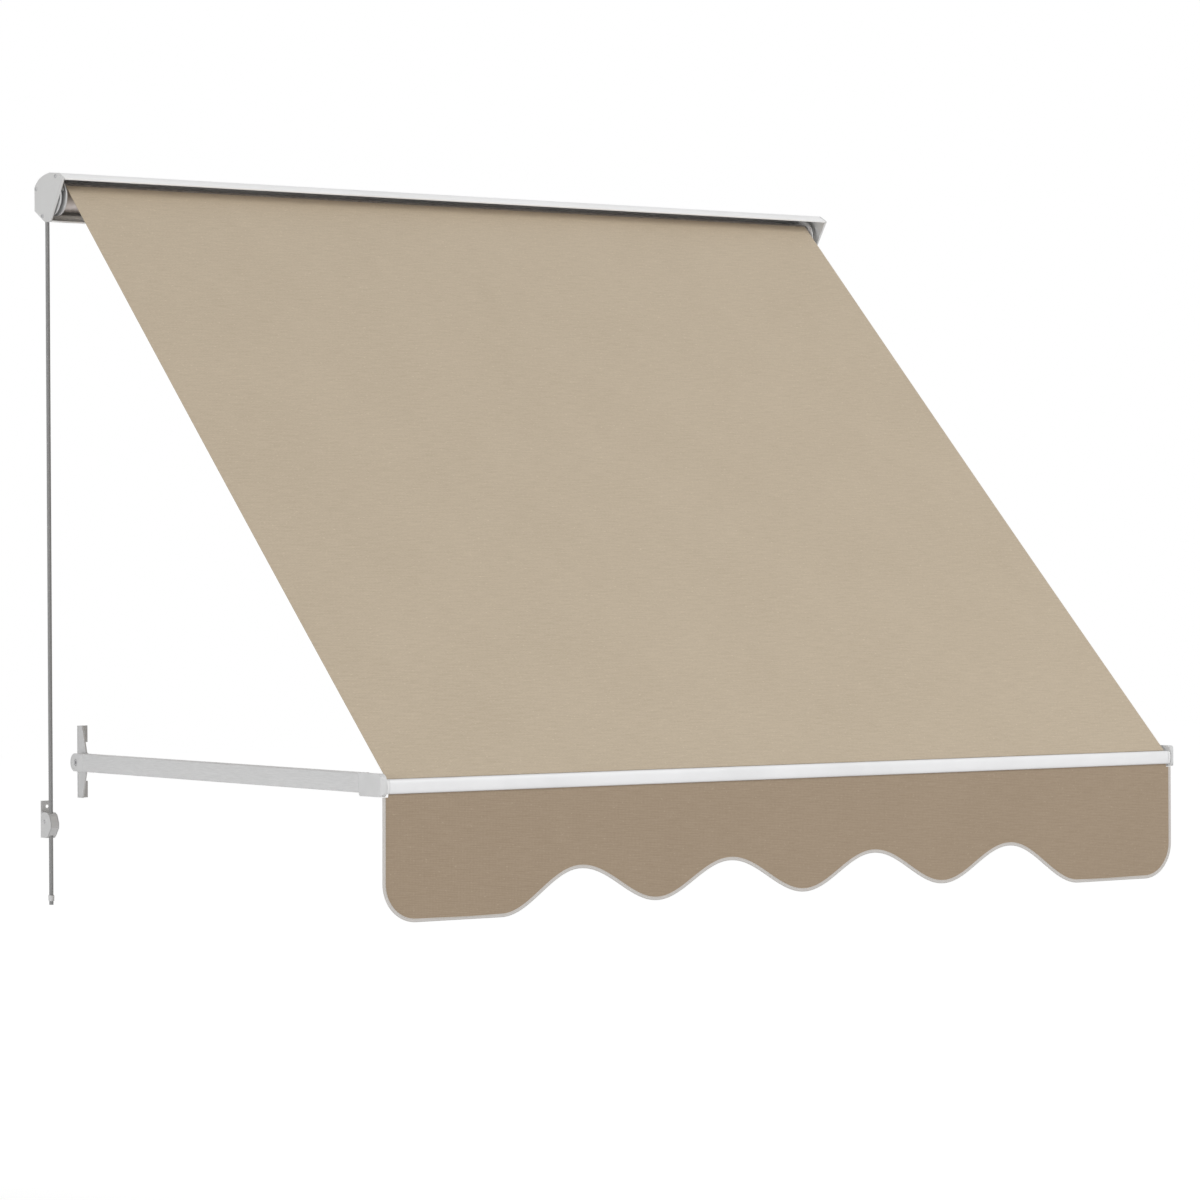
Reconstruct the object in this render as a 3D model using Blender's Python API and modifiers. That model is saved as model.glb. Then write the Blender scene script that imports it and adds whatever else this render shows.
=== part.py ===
# Drop-arm window awning: head casing with a fabric roller, a taut canopy, a front bar with a
# scalloped valance, two swinging arms on wall brackets, and a pull cord with its cord lock.
# X runs along the width, the wall is the plane Y = 0, and the awning stands out towards -Y.
# The origin is on the casing's flat back, at the height of the roller's axis.
# Side outlines are written as (out, z): the distance out from the wall, and the height.

import math

import bmesh
import bpy
from mathutils import Matrix, Vector

mm = 0.001

# Fit and sheet thickness
gap = 0.3 * mm
cloth = 0.6 * mm
round_steps = 24

# Head casing, drawn as its outer face
half_casing = 607.7 * mm
casing_wall = 1.8 * mm
back_low = -15.0 * mm
back_high = 14.5 * mm
sole_out = 26.0 * mm
sole_z = -30.5 * mm
lip_out = 40.0 * mm
lip_z = -31.5 * mm
crown_out = 39.0 * mm
crown_z = 30.5 * mm
brow_out = 60.0 * mm
brow_z = 28.5 * mm
hood_out = 74.5 * mm
hood_z = 20.5 * mm
shoulder_out = 8.0 * mm
shoulder_z = 28.0 * mm
fixing_hole_r = 2.5 * mm
fixing_hole_shares = (-0.74, -0.25, 0.25, 0.74)

# Screw channels of the casing and the plate screws that go into them
channels = ((55.0 * mm, 24.7 * mm), (4.4 * mm, 12.1 * mm), (21.1 * mm, -22.8 * mm))
channel_r = 2.9 * mm
screw_r = 1.2 * mm
screw_length = 14.0 * mm
screw_head_r = 2.6 * mm
screw_head_height = 1.1 * mm

# End plates
plate_thickness = 3.0 * mm
plate_edge = 0.5 * mm

# Roller
roller_out = 35.5 * mm
roller_r = 17.75 * mm
roller_wall = 1.2 * mm
flange_r = 23.2 * mm
flange_thickness = 1.6 * mm
end_room = 2.0 * mm
spool_width = 6.6 * mm
drum_r = 12.0 * mm
spigot_length = 26.0 * mm
pin_r = 3.0 * mm
pin_length = 20.0 * mm
pin_seat = 2.0 * mm
bush_wall = 2.2 * mm
bush_length = 12.0 * mm
groove_angle = math.radians(49)
groove_depth = 3.55 * mm
welt_r = 1.4 * mm
groove_r = 2.6 * mm
groove_wall = 1.0 * mm
groove_mouth = 1.6 * mm

# Front bar, its height measured up from its lower face, its grooves and pivots back from its front
bar_low = -723.0 * mm
bar_height = 16.5 * mm
bar_front = 785.0 * mm
bar_depth = 24.0 * mm
bar_bulge = 0.6 * mm
bar_nose = 3.5 * mm
bar_wall = 1.5 * mm
bar_hollow = 8.0 * mm
canopy_groove_in = 7.8 * mm
canopy_groove_up = 11.5 * mm
valance_groove_in = 3.8 * mm
valance_groove_up = 4.6 * mm

# Cloth
valance_inset = 4.0 * mm
scallop_share = 0.36417
end_flat_share = 0.7333
crest_depth = 94.0 * mm
trough_depth = 136.0 * mm
end_depth = 145.0 * mm
corner_r = 45.0 * mm
piping_r = 2.0 * mm
valance_drop = 3.5 * mm

# Arms, as they run from the wall pivot to the bar pivot
pivot_out = 21.4 * mm
pivot_up = 11.9 * mm
arm_inset = 3.7 * mm
arm_toe_in = 35.5 * mm
arm_thickness = 13.0 * mm
arm_height = 22.7 * mm
arm_wall = 1.5 * mm
arm_corner = 2.0 * mm
arm_end = 6.0 * mm
wall_cap_length = 34.0 * mm
spigot_reach = 30.0 * mm
bolt_r = 2.9 * mm
bolt_head_r = 4.2 * mm
bolt_head_height = 2.0 * mm
bolt_recess = 2.6 * mm
hex_r = 2.3 * mm
hex_depth = 1.2 * mm

# Front fitting of an arm
fitting_lead = 1.0 * mm
fitting_length = 47.7 * mm
fitting_thickness = 7.2 * mm
fitting_lobe = 3.0 * mm
fitting_edge = 6.0 * mm
fitting_top_r = 9.0 * mm
fitting_sole_r = 6.5 * mm
fitting_heel_r = 3.5 * mm
collar_length = 2.2 * mm
bar_pivot_in = 37.0 * mm
bar_pin_r = 2.5 * mm
bar_pin_length = 12.0 * mm
ear_r = 7.0 * mm
ear_length = 8.2 * mm
end_plug_plate = 3.4 * mm
end_plug_spigot = 32.0 * mm

# Wall bracket of an arm
bracket_thickness = 2.0 * mm
bracket_height = 91.4 * mm
bracket_width = 13.8 * mm
bracket_foot = 12.5 * mm
bracket_waist = 22.3 * mm
bracket_waist_z = 12.4 * mm
bracket_nose_out = 17.0 * mm
bracket_nose_r = 13.5 * mm
tab_height = 21.0 * mm
tab_hole_r = 2.6 * mm
tab_hole_z = 35.5 * mm
tab_hole_in = 7.7 * mm
washer_thickness = 0.7 * mm
washer_r = 6.0 * mm
nut_r = 4.6 * mm
nut_height = 4.0 * mm

# Pull cord and its lock, whose heights are measured from the bar's lower face
cord_r = 2.75 * mm
cord_wrap = math.radians(160)
cord_end_up = -166.6 * mm
tip_top_up = -154.6 * mm
tip_length = 7.4 * mm
tip_r = 3.8 * mm
lock_top_up = -50.5 * mm
lock_low_up = -82.5 * mm
lock_plate_top_up = -36.0 * mm
lock_plate_thickness = 1.5 * mm
lock_plate_right = 9.1 * mm
lock_hole_r = 2.3 * mm
lock_hole_right = 2.6 * mm
lock_hole_up = -43.2 * mm
cheek_thickness = 1.0 * mm
cheek_spread = 10.2 * mm
lock_nose = ((16.5, -50.5), (21.5, -53.4), (26.0, -63.3), (26.0, -69.6), (19.0, -78.7), (14.3, -82.5))
cam_out = 9.0 * mm
cam_up = -62.2 * mm
cam_width = 5.2 * mm
cam_back_r = 3.0 * mm
cam_least_r = 3.1 * mm
cam_most_r = 4.6 * mm
cam_teeth = 6
cam_tooth = 0.35 * mm
cam_pin_r = 1.4 * mm
cam_pin_head_r = 2.4 * mm
cam_pin_head = 0.8 * mm

# Worked out from the sizes above
canopy_groove_out = bar_front - canopy_groove_in
valance_groove_out = bar_front - valance_groove_in
fitting_front = bar_front + fitting_lead
fitting_out = fitting_front - fitting_length
bar_pivot_out = bar_front - bar_pivot_in
half_roller = half_casing - end_room - 2 * flange_thickness - spool_width
arm_outer_at_bar = half_casing - arm_inset
arm_outer_at_wall = arm_outer_at_bar - arm_toe_in
half_bar = arm_outer_at_bar - fitting_thickness - end_plug_plate - 3 * gap
half_canopy = half_bar - gap
half_valance = arm_outer_at_bar - valance_inset
scallop_pitch = scallop_share * half_valance
end_flat_from = end_flat_share * half_valance
cord_x = -(half_roller + gap + flange_thickness + spool_width / 2)
plate_inner = half_casing + gap
plate_outer = plate_inner + plate_thickness
pivot_z = bar_low + pivot_up
splay = (arm_outer_at_bar - arm_outer_at_wall) / (fitting_out - pivot_out)
arm_inner_at_wall = arm_outer_at_wall - arm_thickness
fitting_inner = arm_outer_at_bar - fitting_thickness
groove_out = roller_out + (roller_r - groove_depth) * math.cos(groove_angle)
groove_z = (roller_r - groove_depth) * math.sin(groove_angle)
spool_inner_flange = half_roller + gap
spool_outer_flange = spool_inner_flange + flange_thickness + spool_width
cord_turn_r = roller_out - 15.5 * mm
cord_out = roller_out - cord_turn_r
valance_out = valance_groove_out

# Colour, roughness and metallic value of each finish
finishes = {
    "white_enamel": ((0.84, 0.84, 0.85), 0.35, 0.0),
    "grey_enamel": ((0.62, 0.62, 0.63), 0.4, 0.0),
    "brushed_aluminium": ((0.60, 0.60, 0.61), 0.38, 0.6),
    "pale_moulding": ((0.64, 0.64, 0.65), 0.5, 0.0),
    "roller_steel": ((0.75, 0.72, 0.71), 0.4, 0.7),
    "zinc": ((0.45, 0.45, 0.46), 0.4, 0.9),
    "beige_canvas": ((0.50, 0.42, 0.31), 0.9, 0.0),
    "valance_canvas": ((0.40, 0.32, 0.23), 0.9, 0.0),
    "grey_binding": ((0.58, 0.57, 0.56), 0.85, 0.0),
    "grey_braid": ((0.27, 0.27, 0.27), 0.9, 0.0),
    "welt_cord": ((0.70, 0.70, 0.68), 0.6, 0.0),
}

parts = bpy.data.collections.new("window_awning")
cutters = bpy.data.collections.new("cutters")


def clear_scene():
    for obj in list(bpy.data.objects):
        bpy.data.objects.remove(obj, do_unlink=True)
    bpy.context.scene.collection.children.link(parts)
    bpy.context.scene.collection.children.link(cutters)
    cutters.hide_render = True


def side_matrix(x):
    # An outline's first axis points out from the wall, and its second one up
    return Matrix(((0, 0, -1, x), (-1, 0, 0, 0), (0, 1, 0, 0), (0, 0, 0, 1)))


def front_matrix(out):
    # An outline's first axis runs along the width, and its second one up
    return Matrix(((1, 0, 0, 0), (0, 0, -1, -out), (0, 1, 0, 0), (0, 0, 0, 1)))


def finish_of(name, finish):
    colour, roughness, metallic = finishes[finish]
    material = bpy.data.materials.new(f"{name}_{finish}")
    material.use_nodes = True
    shader = material.node_tree.nodes["Principled BSDF"]
    shader.inputs["Base Color"].default_value = (*colour, 1)
    shader.inputs["Roughness"].default_value = roughness
    shader.inputs["Metallic"].default_value = metallic
    return material


def as_node(obj, name, finish, pivot=None, smooth=False):
    obj.name = name
    obj.data.name = name
    obj.data.materials.clear()
    obj.data.materials.append(finish_of(name, finish))
    for owner in list(obj.users_collection):
        owner.objects.unlink(obj)
    parts.objects.link(obj)
    if smooth and obj.type == "MESH":
        obj.data.shade_smooth()
        obj.data.set_sharp_from_angle(angle=math.radians(35))
    if pivot:
        obj.parent = pivot
        obj.matrix_parent_inverse = pivot.matrix_world.inverted()
    return obj


def pivot_at(name, x, out, z):
    empty = bpy.data.objects.new(name, None)
    empty.location = (x, -out, z)
    empty.empty_display_size = 0.05
    parts.objects.link(empty)
    bpy.context.view_layer.update()
    return empty


def new_mesh_object(mesh_builder):
    mesh = bpy.data.meshes.new("shape")
    mesh_builder.to_mesh(mesh)
    mesh_builder.free()
    obj = bpy.data.objects.new("shape", mesh)
    parts.objects.link(obj)
    return obj


def close_seams(shape):
    # Where a join leaves a corner lying on a longer edge, that edge gets a corner there too
    corners = {v for e in shape.edges if e.is_boundary for v in e.verts}
    for corner in sorted(corners, key=lambda v: tuple(v.co)):
        for edge in [e for e in shape.edges if e.is_boundary and corner not in e.verts]:
            start, end = (v.co for v in edge.verts)
            along = end - start
            share = (corner.co - start).dot(along) / along.length_squared
            if 0 < share < 1 and (start + along * share - corner.co).length < 0.002 * mm:
                bmesh.utils.edge_split(edge, edge.verts[0], share)
    if corners:
        bmesh.ops.remove_doubles(shape, verts=shape.verts, dist=0.002 * mm)


def made_mesh(obj):
    # The evaluated shape as a plain mesh with its caps welded and its faces turned out
    bpy.context.view_layer.update()
    graph = bpy.context.evaluated_depsgraph_get()
    mesh = bpy.data.meshes.new_from_object(obj.evaluated_get(graph))
    mesh.transform(obj.matrix_world)
    shape = bmesh.new()
    shape.from_mesh(mesh)
    bmesh.ops.remove_doubles(shape, verts=shape.verts, dist=0.002 * mm)
    close_seams(shape)
    bmesh.ops.recalc_face_normals(shape, faces=shape.faces)
    bpy.data.objects.remove(obj, do_unlink=True)
    bpy.data.meshes.remove(mesh)
    return new_mesh_object(shape)


def extruded(outlines, placed, low, high):
    # Flat outlines, the later ones cut out of the first, made as thick as high - low
    curve = bpy.data.curves.new("outline", "CURVE")
    curve.dimensions = "2D"
    curve.fill_mode = "BOTH"
    curve.extrude = (high - low) / 2
    for outline in outlines:
        spline = curve.splines.new("POLY")
        spline.points.add(len(outline) - 1)
        for point, (a, b) in zip(spline.points, outline):
            point.co = (a, b, 0, 1)
        spline.use_cyclic_u = True
    obj = bpy.data.objects.new("outline", curve)
    obj.matrix_world = placed((low + high) / 2)
    parts.objects.link(obj)
    return made_mesh(obj)


def side_piece(outline, x_a, x_b, holes=()):
    return extruded([outline, *holes], side_matrix, min(x_a, x_b), max(x_a, x_b))


def front_piece(outline, out_a, out_b, holes=()):
    return extruded([outline, *holes], front_matrix, min(out_a, out_b), max(out_a, out_b))


def turned(profile, out, z, closed=False, steps=round_steps):
    # A profile of (x, radius) points, turned about the line along X at (out, z)
    shape = bmesh.new()
    points = [shape.verts.new((x, 0, radius)) for x, radius in profile]
    for first, second in zip(points, points[1:]):
        shape.edges.new((first, second))
    if closed:
        shape.edges.new((points[-1], points[0]))
    obj = new_mesh_object(shape)
    obj.location = (0, -out, z)
    screw = obj.modifiers.new("turn", "SCREW")
    screw.axis = "X"
    screw.steps = steps
    screw.render_steps = steps
    screw.use_merge_vertices = True
    screw.merge_threshold = 0.00001
    return made_mesh(obj)


def rod_x(radius, x_a, x_b, out, z, steps=round_steps):
    # A plain round bar along X
    shape = bmesh.new()
    bmesh.ops.create_cone(
        shape, cap_ends=True, segments=steps, radius1=radius, radius2=radius, depth=abs(x_b - x_a)
    )
    placed = Matrix.Translation(((x_a + x_b) / 2, -out, z)) @ Matrix.Rotation(math.pi / 2, 4, "Y")
    bmesh.ops.transform(shape, matrix=placed, verts=shape.verts)
    return new_mesh_object(shape)


def rod_y(radius, out_a, out_b, x, z, steps=round_steps):
    # A plain round bar square to the wall
    shape = bmesh.new()
    bmesh.ops.create_cone(
        shape, cap_ends=True, segments=steps, radius1=radius, radius2=radius, depth=abs(out_b - out_a)
    )
    placed = Matrix.Translation((x, -(out_a + out_b) / 2, z)) @ Matrix.Rotation(math.pi / 2, 4, "X")
    bmesh.ops.transform(shape, matrix=placed, verts=shape.verts)
    return new_mesh_object(shape)


def block(x_a, x_b, out_a, out_b, z_a, z_b):
    shape = bmesh.new()
    bmesh.ops.create_cube(shape, size=1)
    size = Matrix.Diagonal((abs(x_b - x_a), abs(out_b - out_a), abs(z_b - z_a), 1))
    middle = Matrix.Translation(((x_a + x_b) / 2, -(out_a + out_b) / 2, (z_a + z_b) / 2))
    bmesh.ops.transform(shape, matrix=middle @ size, verts=shape.verts)
    return new_mesh_object(shape)


def combine(obj, other, operation):
    # A Boolean made at once, after which the other shape is kept out of the model
    step = obj.modifiers.new(operation.lower(), "BOOLEAN")
    step.operation = operation
    step.solver = "EXACT"
    step.object = other
    result = made_mesh(obj)
    bpy.data.objects.remove(other, do_unlink=True)
    return result


def cut(obj, *others):
    for other in others:
        obj = combine(obj, other, "DIFFERENCE")
    return obj


def join(obj, *others):
    for other in others:
        obj = combine(obj, other, "UNION")
    return obj


def softened(obj, width, segments=2, angle=40):
    bevel = obj.modifiers.new("edges", "BEVEL")
    bevel.width = width
    bevel.segments = segments
    bevel.limit_method = "ANGLE"
    bevel.angle_limit = math.radians(angle)
    return made_mesh(obj)


def arc(centre, radius, start, end, count):
    # Points of an arc, angles in degrees, from start to end
    turn = [math.radians(start + (end - start) * i / count) for i in range(count + 1)]
    return [(centre[0] + radius * math.cos(a), centre[1] + radius * math.sin(a)) for a in turn]


def bend(start, control, end, count):
    # Points of a quadratic curve, without its two ends
    found = []
    for i in range(1, count):
        t = i / count
        weights = ((1 - t) ** 2, 2 * t * (1 - t), t * t)
        found.append(tuple(sum(w * p[k] for w, p in zip(weights, (start, control, end))) for k in (0, 1)))
    return found


def offset_path(path, distance):
    # The path moved to its left by the distance, with mitred corners
    points = [Vector(p) for p in path]
    normals = [Vector((-(b - a).y, (b - a).x)).normalized() for a, b in zip(points, points[1:])]
    moved = []
    for i, point in enumerate(points):
        before = normals[max(i - 1, 0)]
        after = normals[min(i, len(normals) - 1)]
        middle = (before + after).normalized()
        moved.append(tuple(point + middle * distance / max(middle.dot(before), 0.3)))
    return moved


def strip(path, thickness):
    # A band of even thickness about the path
    return offset_path(path, thickness / 2) + offset_path(path, -thickness / 2)[::-1]


def rounded_box(a_low, a_high, b_low, b_high, radius, count=3):
    return (
        arc((a_high - radius, b_high - radius), radius, 0, 90, count)
        + arc((a_low + radius, b_high - radius), radius, 90, 180, count)
        + arc((a_low + radius, b_low + radius), radius, 180, 270, count)
        + arc((a_high - radius, b_low + radius), radius, 270, 360, count)
    )


def casing_path():
    # The outer face from the lower lip, round the back and over the hood
    start, end = (0, back_high), (crown_out, crown_z)
    shoulder = bend(start, (shoulder_out, shoulder_z), end, 6)
    lower = [(lip_out, lip_z), (sole_out, sole_z), (0, back_low), start]
    return lower + shoulder + [end, (brow_out, brow_z), (hood_out, hood_z)]


def make_casing():
    outer = casing_path()
    inner = offset_path(outer, -casing_wall)
    casing = side_piece(outer + inner[::-1], -half_casing, half_casing)
    for out, z in channels:
        casing = join(casing, rod_x(channel_r, -half_casing, half_casing, out, z, 14))
    over = half_casing + 1 * mm
    # Nothing of a screw channel may stand outside the casing's face
    envelope = side_piece(outer, -over, over)
    casing = combine(casing, envelope, "INTERSECT")
    for out, z in channels:
        casing = cut(casing, rod_x(screw_r + gap, -over, over, out, z, 12))
    mouth_low = block(cord_x - 8 * mm, cord_x + cord_r + 1.2 * mm, cord_out - cord_r - 0.8 * mm,
                      cord_out + cord_r + 0.55 * mm, lip_z - 2 * mm, back_low)
    casing = cut(casing, mouth_low)
    for share in fixing_hole_shares:
        hole_x = share * half_casing
        casing = cut(casing, rod_y(fixing_hole_r, -mm, casing_wall + mm, hole_x, 0, 16))
    as_node(casing, "head_casing", "white_enamel")


def make_end_plate(side, name):
    plate = side_piece(casing_path(), side * plate_inner, side * plate_outer)
    plate = softened(plate, plate_edge, 1, 50)
    for out, z in channels:
        hole = rod_x(screw_r + gap, side * (plate_inner - mm), side * (plate_outer + mm), out, z, 16)
        plate = cut(plate, hole)
    seat = rod_x(pin_r + gap, side * (plate_inner - mm), side * (plate_inner + pin_seat), roller_out, 0)
    plate = cut(plate, seat)
    as_node(plate, f"end_plate_{name}", "grey_enamel")
    for number, (out, z) in enumerate(channels, 1):
        make_plate_screw(side, out, z, f"plate_screw_{name}_{number}")


def make_plate_screw(side, out, z, name):
    face = plate_outer + gap
    profile = [
        (side * (face - screw_length), 0),
        (side * (face - screw_length + mm), screw_r),
        (side * face, screw_r),
        (side * face, screw_head_r),
        (side * (face + 0.5 * screw_head_height), screw_head_r),
        (side * (face + screw_head_height), 0.6 * screw_head_r),
        (side * (face + screw_head_height), 0),
    ]
    screw = turned(profile, out, z, steps=16)
    recess = face + 0.45 * screw_head_height
    across, along = 1.3 * mm, 0.35 * mm
    for a, b in ((across, along), (along, across)):
        slot = block(side * recess, side * (face + 2 * screw_head_height), out - a, out + a, z - b, z + b)
        screw = cut(screw, slot)
    as_node(screw, name, "zinc", smooth=True)


def make_roller(pivot):
    ring = arc((roller_out, 0), roller_r, 0, 360, 48)[:-1]
    bore = arc((roller_out, 0), roller_r - roller_wall, 0, 360, 48)[:-1]
    tube = side_piece(ring, -half_roller, half_roller, [bore])
    tube = join(tube, rod_x(groove_r + groove_wall, -half_roller, half_roller, groove_out, groove_z, 20))
    over = half_roller + mm
    tube = combine(tube, side_piece(ring, -over, over), "INTERSECT")
    tube = cut(tube, rod_x(groove_r, -over, over, groove_out, groove_z, 20))
    along = Vector((math.cos(groove_angle), math.sin(groove_angle)))
    start = Vector((groove_out, groove_z))
    end = start + along * (groove_depth + 2 * mm)
    tube = cut(tube, side_piece(strip([tuple(start), tuple(end)], groove_mouth), -over, over))
    as_node(tube, "roller_tube", "roller_steel", pivot, smooth=True)
    welt = rod_x(welt_r, -half_canopy, half_canopy, groove_out, groove_z, 12)
    as_node(welt, "canopy_welt_rear", "welt_cord", pivot, smooth=True)


def plug_profile(side, flanges):
    # A plug from its spigot in the tube out to its last flange, with a bore for the bush
    bore = pin_r + gap + bush_wall + gap
    spigot = roller_r - roller_wall - gap
    start = half_roller - spigot_length
    inner = spool_inner_flange
    profile = [(start, bore), (start, spigot - mm), (start + mm, spigot), (inner, spigot), (inner, flange_r)]
    profile += [(inner + flange_thickness, flange_r), (inner + flange_thickness, drum_r)]
    profile += [(spool_outer_flange, drum_r)]
    if flanges == 2:
        profile += [(spool_outer_flange, flange_r), (spool_outer_flange + flange_thickness, flange_r)]
        profile += [(spool_outer_flange + flange_thickness, bore)]
    else:
        profile += [(spool_outer_flange, bore)]
    return [(side * x, radius) for x, radius in profile]


def make_plug(side, flanges, node, name, pivot):
    plug = turned(plug_profile(side, flanges), roller_out, 0, closed=True, steps=40)
    # The spigot is relieved where the tube's welt channel runs
    relief_r = groove_r + groove_wall + gap
    tube_end = spool_inner_flange
    start = half_roller - spigot_length - mm
    relief = rod_x(relief_r, side * start, side * tube_end, groove_out, groove_z, 20)
    plug = cut(plug, relief)
    as_node(plug, node, "pale_moulding", pivot, smooth=True)
    bush_start = half_roller - 4 * mm
    bush_r = pin_r + gap
    bush = turned(
        [
            (side * bush_start, bush_r),
            (side * bush_start, bush_r + bush_wall),
            (side * (bush_start + bush_length), bush_r + bush_wall),
            (side * (bush_start + bush_length), bush_r),
        ],
        roller_out,
        0,
        closed=True,
    )
    as_node(bush, f"roller_bush_{name}", "pale_moulding", pivot, smooth=True)
    pin_end = plate_inner + pin_seat - gap
    pin = rod_x(pin_r, side * (pin_end - pin_length), side * pin_end, roller_out, 0)
    as_node(softened(pin, 0.5 * mm, 1), f"roller_pin_{name}", "zinc", smooth=True)


def make_windings(pivot):
    low = spool_inner_flange + flange_thickness + gap
    high = spool_outer_flange - gap
    outer = cord_turn_r - cord_r - gap
    edge = 1.2 * mm
    profile = [
        (-low, drum_r + gap),
        (-low, outer - edge),
        (-low - edge, outer),
        (-high + edge, outer),
        (-high, outer - edge),
        (-high, drum_r + gap),
    ]
    windings = turned(profile, roller_out, 0, closed=True, steps=40)
    as_node(windings, "cord_windings", "grey_braid", pivot, smooth=True)


def hem(centre, towards, count=12):
    # The cloth's loop round its welt cord: nearly a full turn that ends at the groove's mouth
    radius = welt_r + gap + cloth / 2
    return arc(centre, radius, towards + 330, towards + 20, count)


def canopy_path():
    mouth = Vector((math.cos(groove_angle), math.sin(groove_angle)))
    centre = Vector((groove_out, groove_z))
    leave = centre + mouth * (groove_depth + cloth)
    enter = (canopy_groove_out, bar_low + bar_height + cloth)
    neck = (canopy_groove_out, bar_low + canopy_groove_up + welt_r + 2 * cloth)
    rear = hem((groove_out, groove_z), math.degrees(groove_angle))
    front = hem((canopy_groove_out, bar_low + canopy_groove_up), 90)[::-1]
    throat = centre + mouth * (welt_r + 2 * cloth)
    return rear + [tuple(throat), tuple(leave), enter, neck] + front


def make_canopy(pivot):
    canopy = side_piece(strip(canopy_path(), cloth), -half_canopy, half_canopy)
    as_node(canopy, "canopy", "beige_canvas", pivot)


def bar_outline():
    front = bar_front
    rear = bar_front - bar_depth
    low, high = bar_low, bar_low + bar_height
    middle = (low + high) / 2
    corner = 1.5 * mm
    outline = arc((rear + corner, low + corner), corner, 180, 270, 3)
    outline += [(front - bar_nose, low)]
    outline += bend((front - bar_nose, low), (front, low), (front, low + bar_nose), 4)
    belly = (front + 2 * bar_bulge, middle)
    outline += bend((front, low + bar_nose - mm), belly, (front, high - bar_nose + mm), 6)
    outline += bend((front, high - bar_nose), (front, high), (front - bar_nose, high), 4)
    outline += [(front - bar_nose, high)]
    outline += arc((rear + corner, high - corner), corner, 90, 180, 3)
    return outline


def bar_hollow_box(shrink):
    rear = bar_front - bar_depth + bar_wall + shrink
    low = bar_low + bar_wall + shrink
    high = bar_low + bar_height - bar_wall - shrink
    return rounded_box(rear, rear + bar_hollow - 2 * shrink, low, high, 1 * mm, 2)


def make_bar(pivot):
    bar = side_piece(bar_outline(), -half_bar, half_bar)
    over = half_bar + mm
    bar = cut(bar, side_piece(bar_hollow_box(0), -over, over))
    top = (canopy_groove_out, bar_low + canopy_groove_up)
    sole = (valance_groove_out, bar_low + valance_groove_up)
    for centre, mouth in ((top, bar_low + bar_height + 2 * mm), (sole, bar_low - 2 * mm)):
        bar = cut(bar, rod_x(groove_r, -over, over, centre[0], centre[1], 20))
        slot = strip([centre, (centre[0], mouth)], groove_mouth)
        bar = cut(bar, side_piece(slot, -over, over))
    as_node(bar, "front_bar", "white_enamel", pivot, smooth=True)
    for centre, name in ((top, "canopy_welt_front"), (sole, "valance_welt")):
        welt = rod_x(welt_r, -half_bar + mm, half_bar - mm, centre[0], centre[1], 12)
        as_node(welt, name, "welt_cord", pivot, smooth=True)


def make_end_plug(side, name, pivot):
    # A plate over the bar's end, with an ear behind it for the arm's pin
    inner = half_bar + gap
    outer = inner + end_plug_plate
    plug = side_piece(bar_outline(), side * inner, side * outer)
    ear_top = bar_low + bar_height
    neck = block(side * inner, side * outer, bar_pivot_out, bar_front - bar_depth + 2 * mm,
                 ear_top - 11 * mm, ear_top - 0.4 * mm)
    ear_inner = outer - ear_length
    ear = rod_x(ear_r, side * ear_inner, side * outer, bar_pivot_out, pivot_z)
    spigot = side_piece(bar_hollow_box(gap), side * (inner - end_plug_spigot), side * (inner + mm))
    plug = join(plug, neck, ear, spigot)
    bore = rod_x(bar_pin_r + gap, side * (ear_inner + 1.5 * mm), side * (outer + mm), bar_pivot_out, pivot_z)
    as_node(cut(plug, bore), f"bar_end_plug_{name}", "pale_moulding", pivot, smooth=True)
    start = ear_inner + 1.8 * mm
    pin = rod_x(bar_pin_r, side * start, side * (start + bar_pin_length), bar_pivot_out, pivot_z)
    as_node(softened(pin, 0.4 * mm, 1), f"bar_pivot_pin_{name}", "zinc", pivot, smooth=True)


def valance_depth(x):
    # How far the lower edge hangs below the bar: scallops, then a deeper flat lobe at each end
    last_crest = 1.5 * scallop_pitch
    x = abs(x)
    if x <= last_crest:
        middle = (trough_depth + crest_depth) / 2
        return middle + (trough_depth - crest_depth) / 2 * math.cos(2 * math.pi * x / scallop_pitch)
    if x < end_flat_from:
        share = (x - last_crest) / (end_flat_from - last_crest)
        return (crest_depth + end_depth) / 2 - (end_depth - crest_depth) / 2 * math.cos(math.pi * share)
    return end_depth


def valance_edge(inset):
    # The side and lower edge of the valance, left to right, moved inwards by the inset
    side_x = half_valance - inset
    low = bar_low - end_depth + inset
    radius = corner_r - inset
    corner = arc((side_x - radius, low + radius), radius, 0, -90, 8)
    step = scallop_pitch / 16
    last = int((end_flat_from - step / 2) / step)
    edge = []
    for i in range(-last, last + 1):
        x = i * step
        slope = (valance_depth(x + 1e-4) - valance_depth(x - 1e-4)) / 2e-4
        tilt = 1 / math.hypot(1, slope)
        edge.append((x + inset * slope * tilt, bar_low - valance_depth(x) + inset * tilt))
    flat = (end_flat_from, low)
    left = [(-x, z) for x, z in corner] + [(-flat[0], flat[1])]
    return left + edge + [flat] + corner[::-1]


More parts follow.
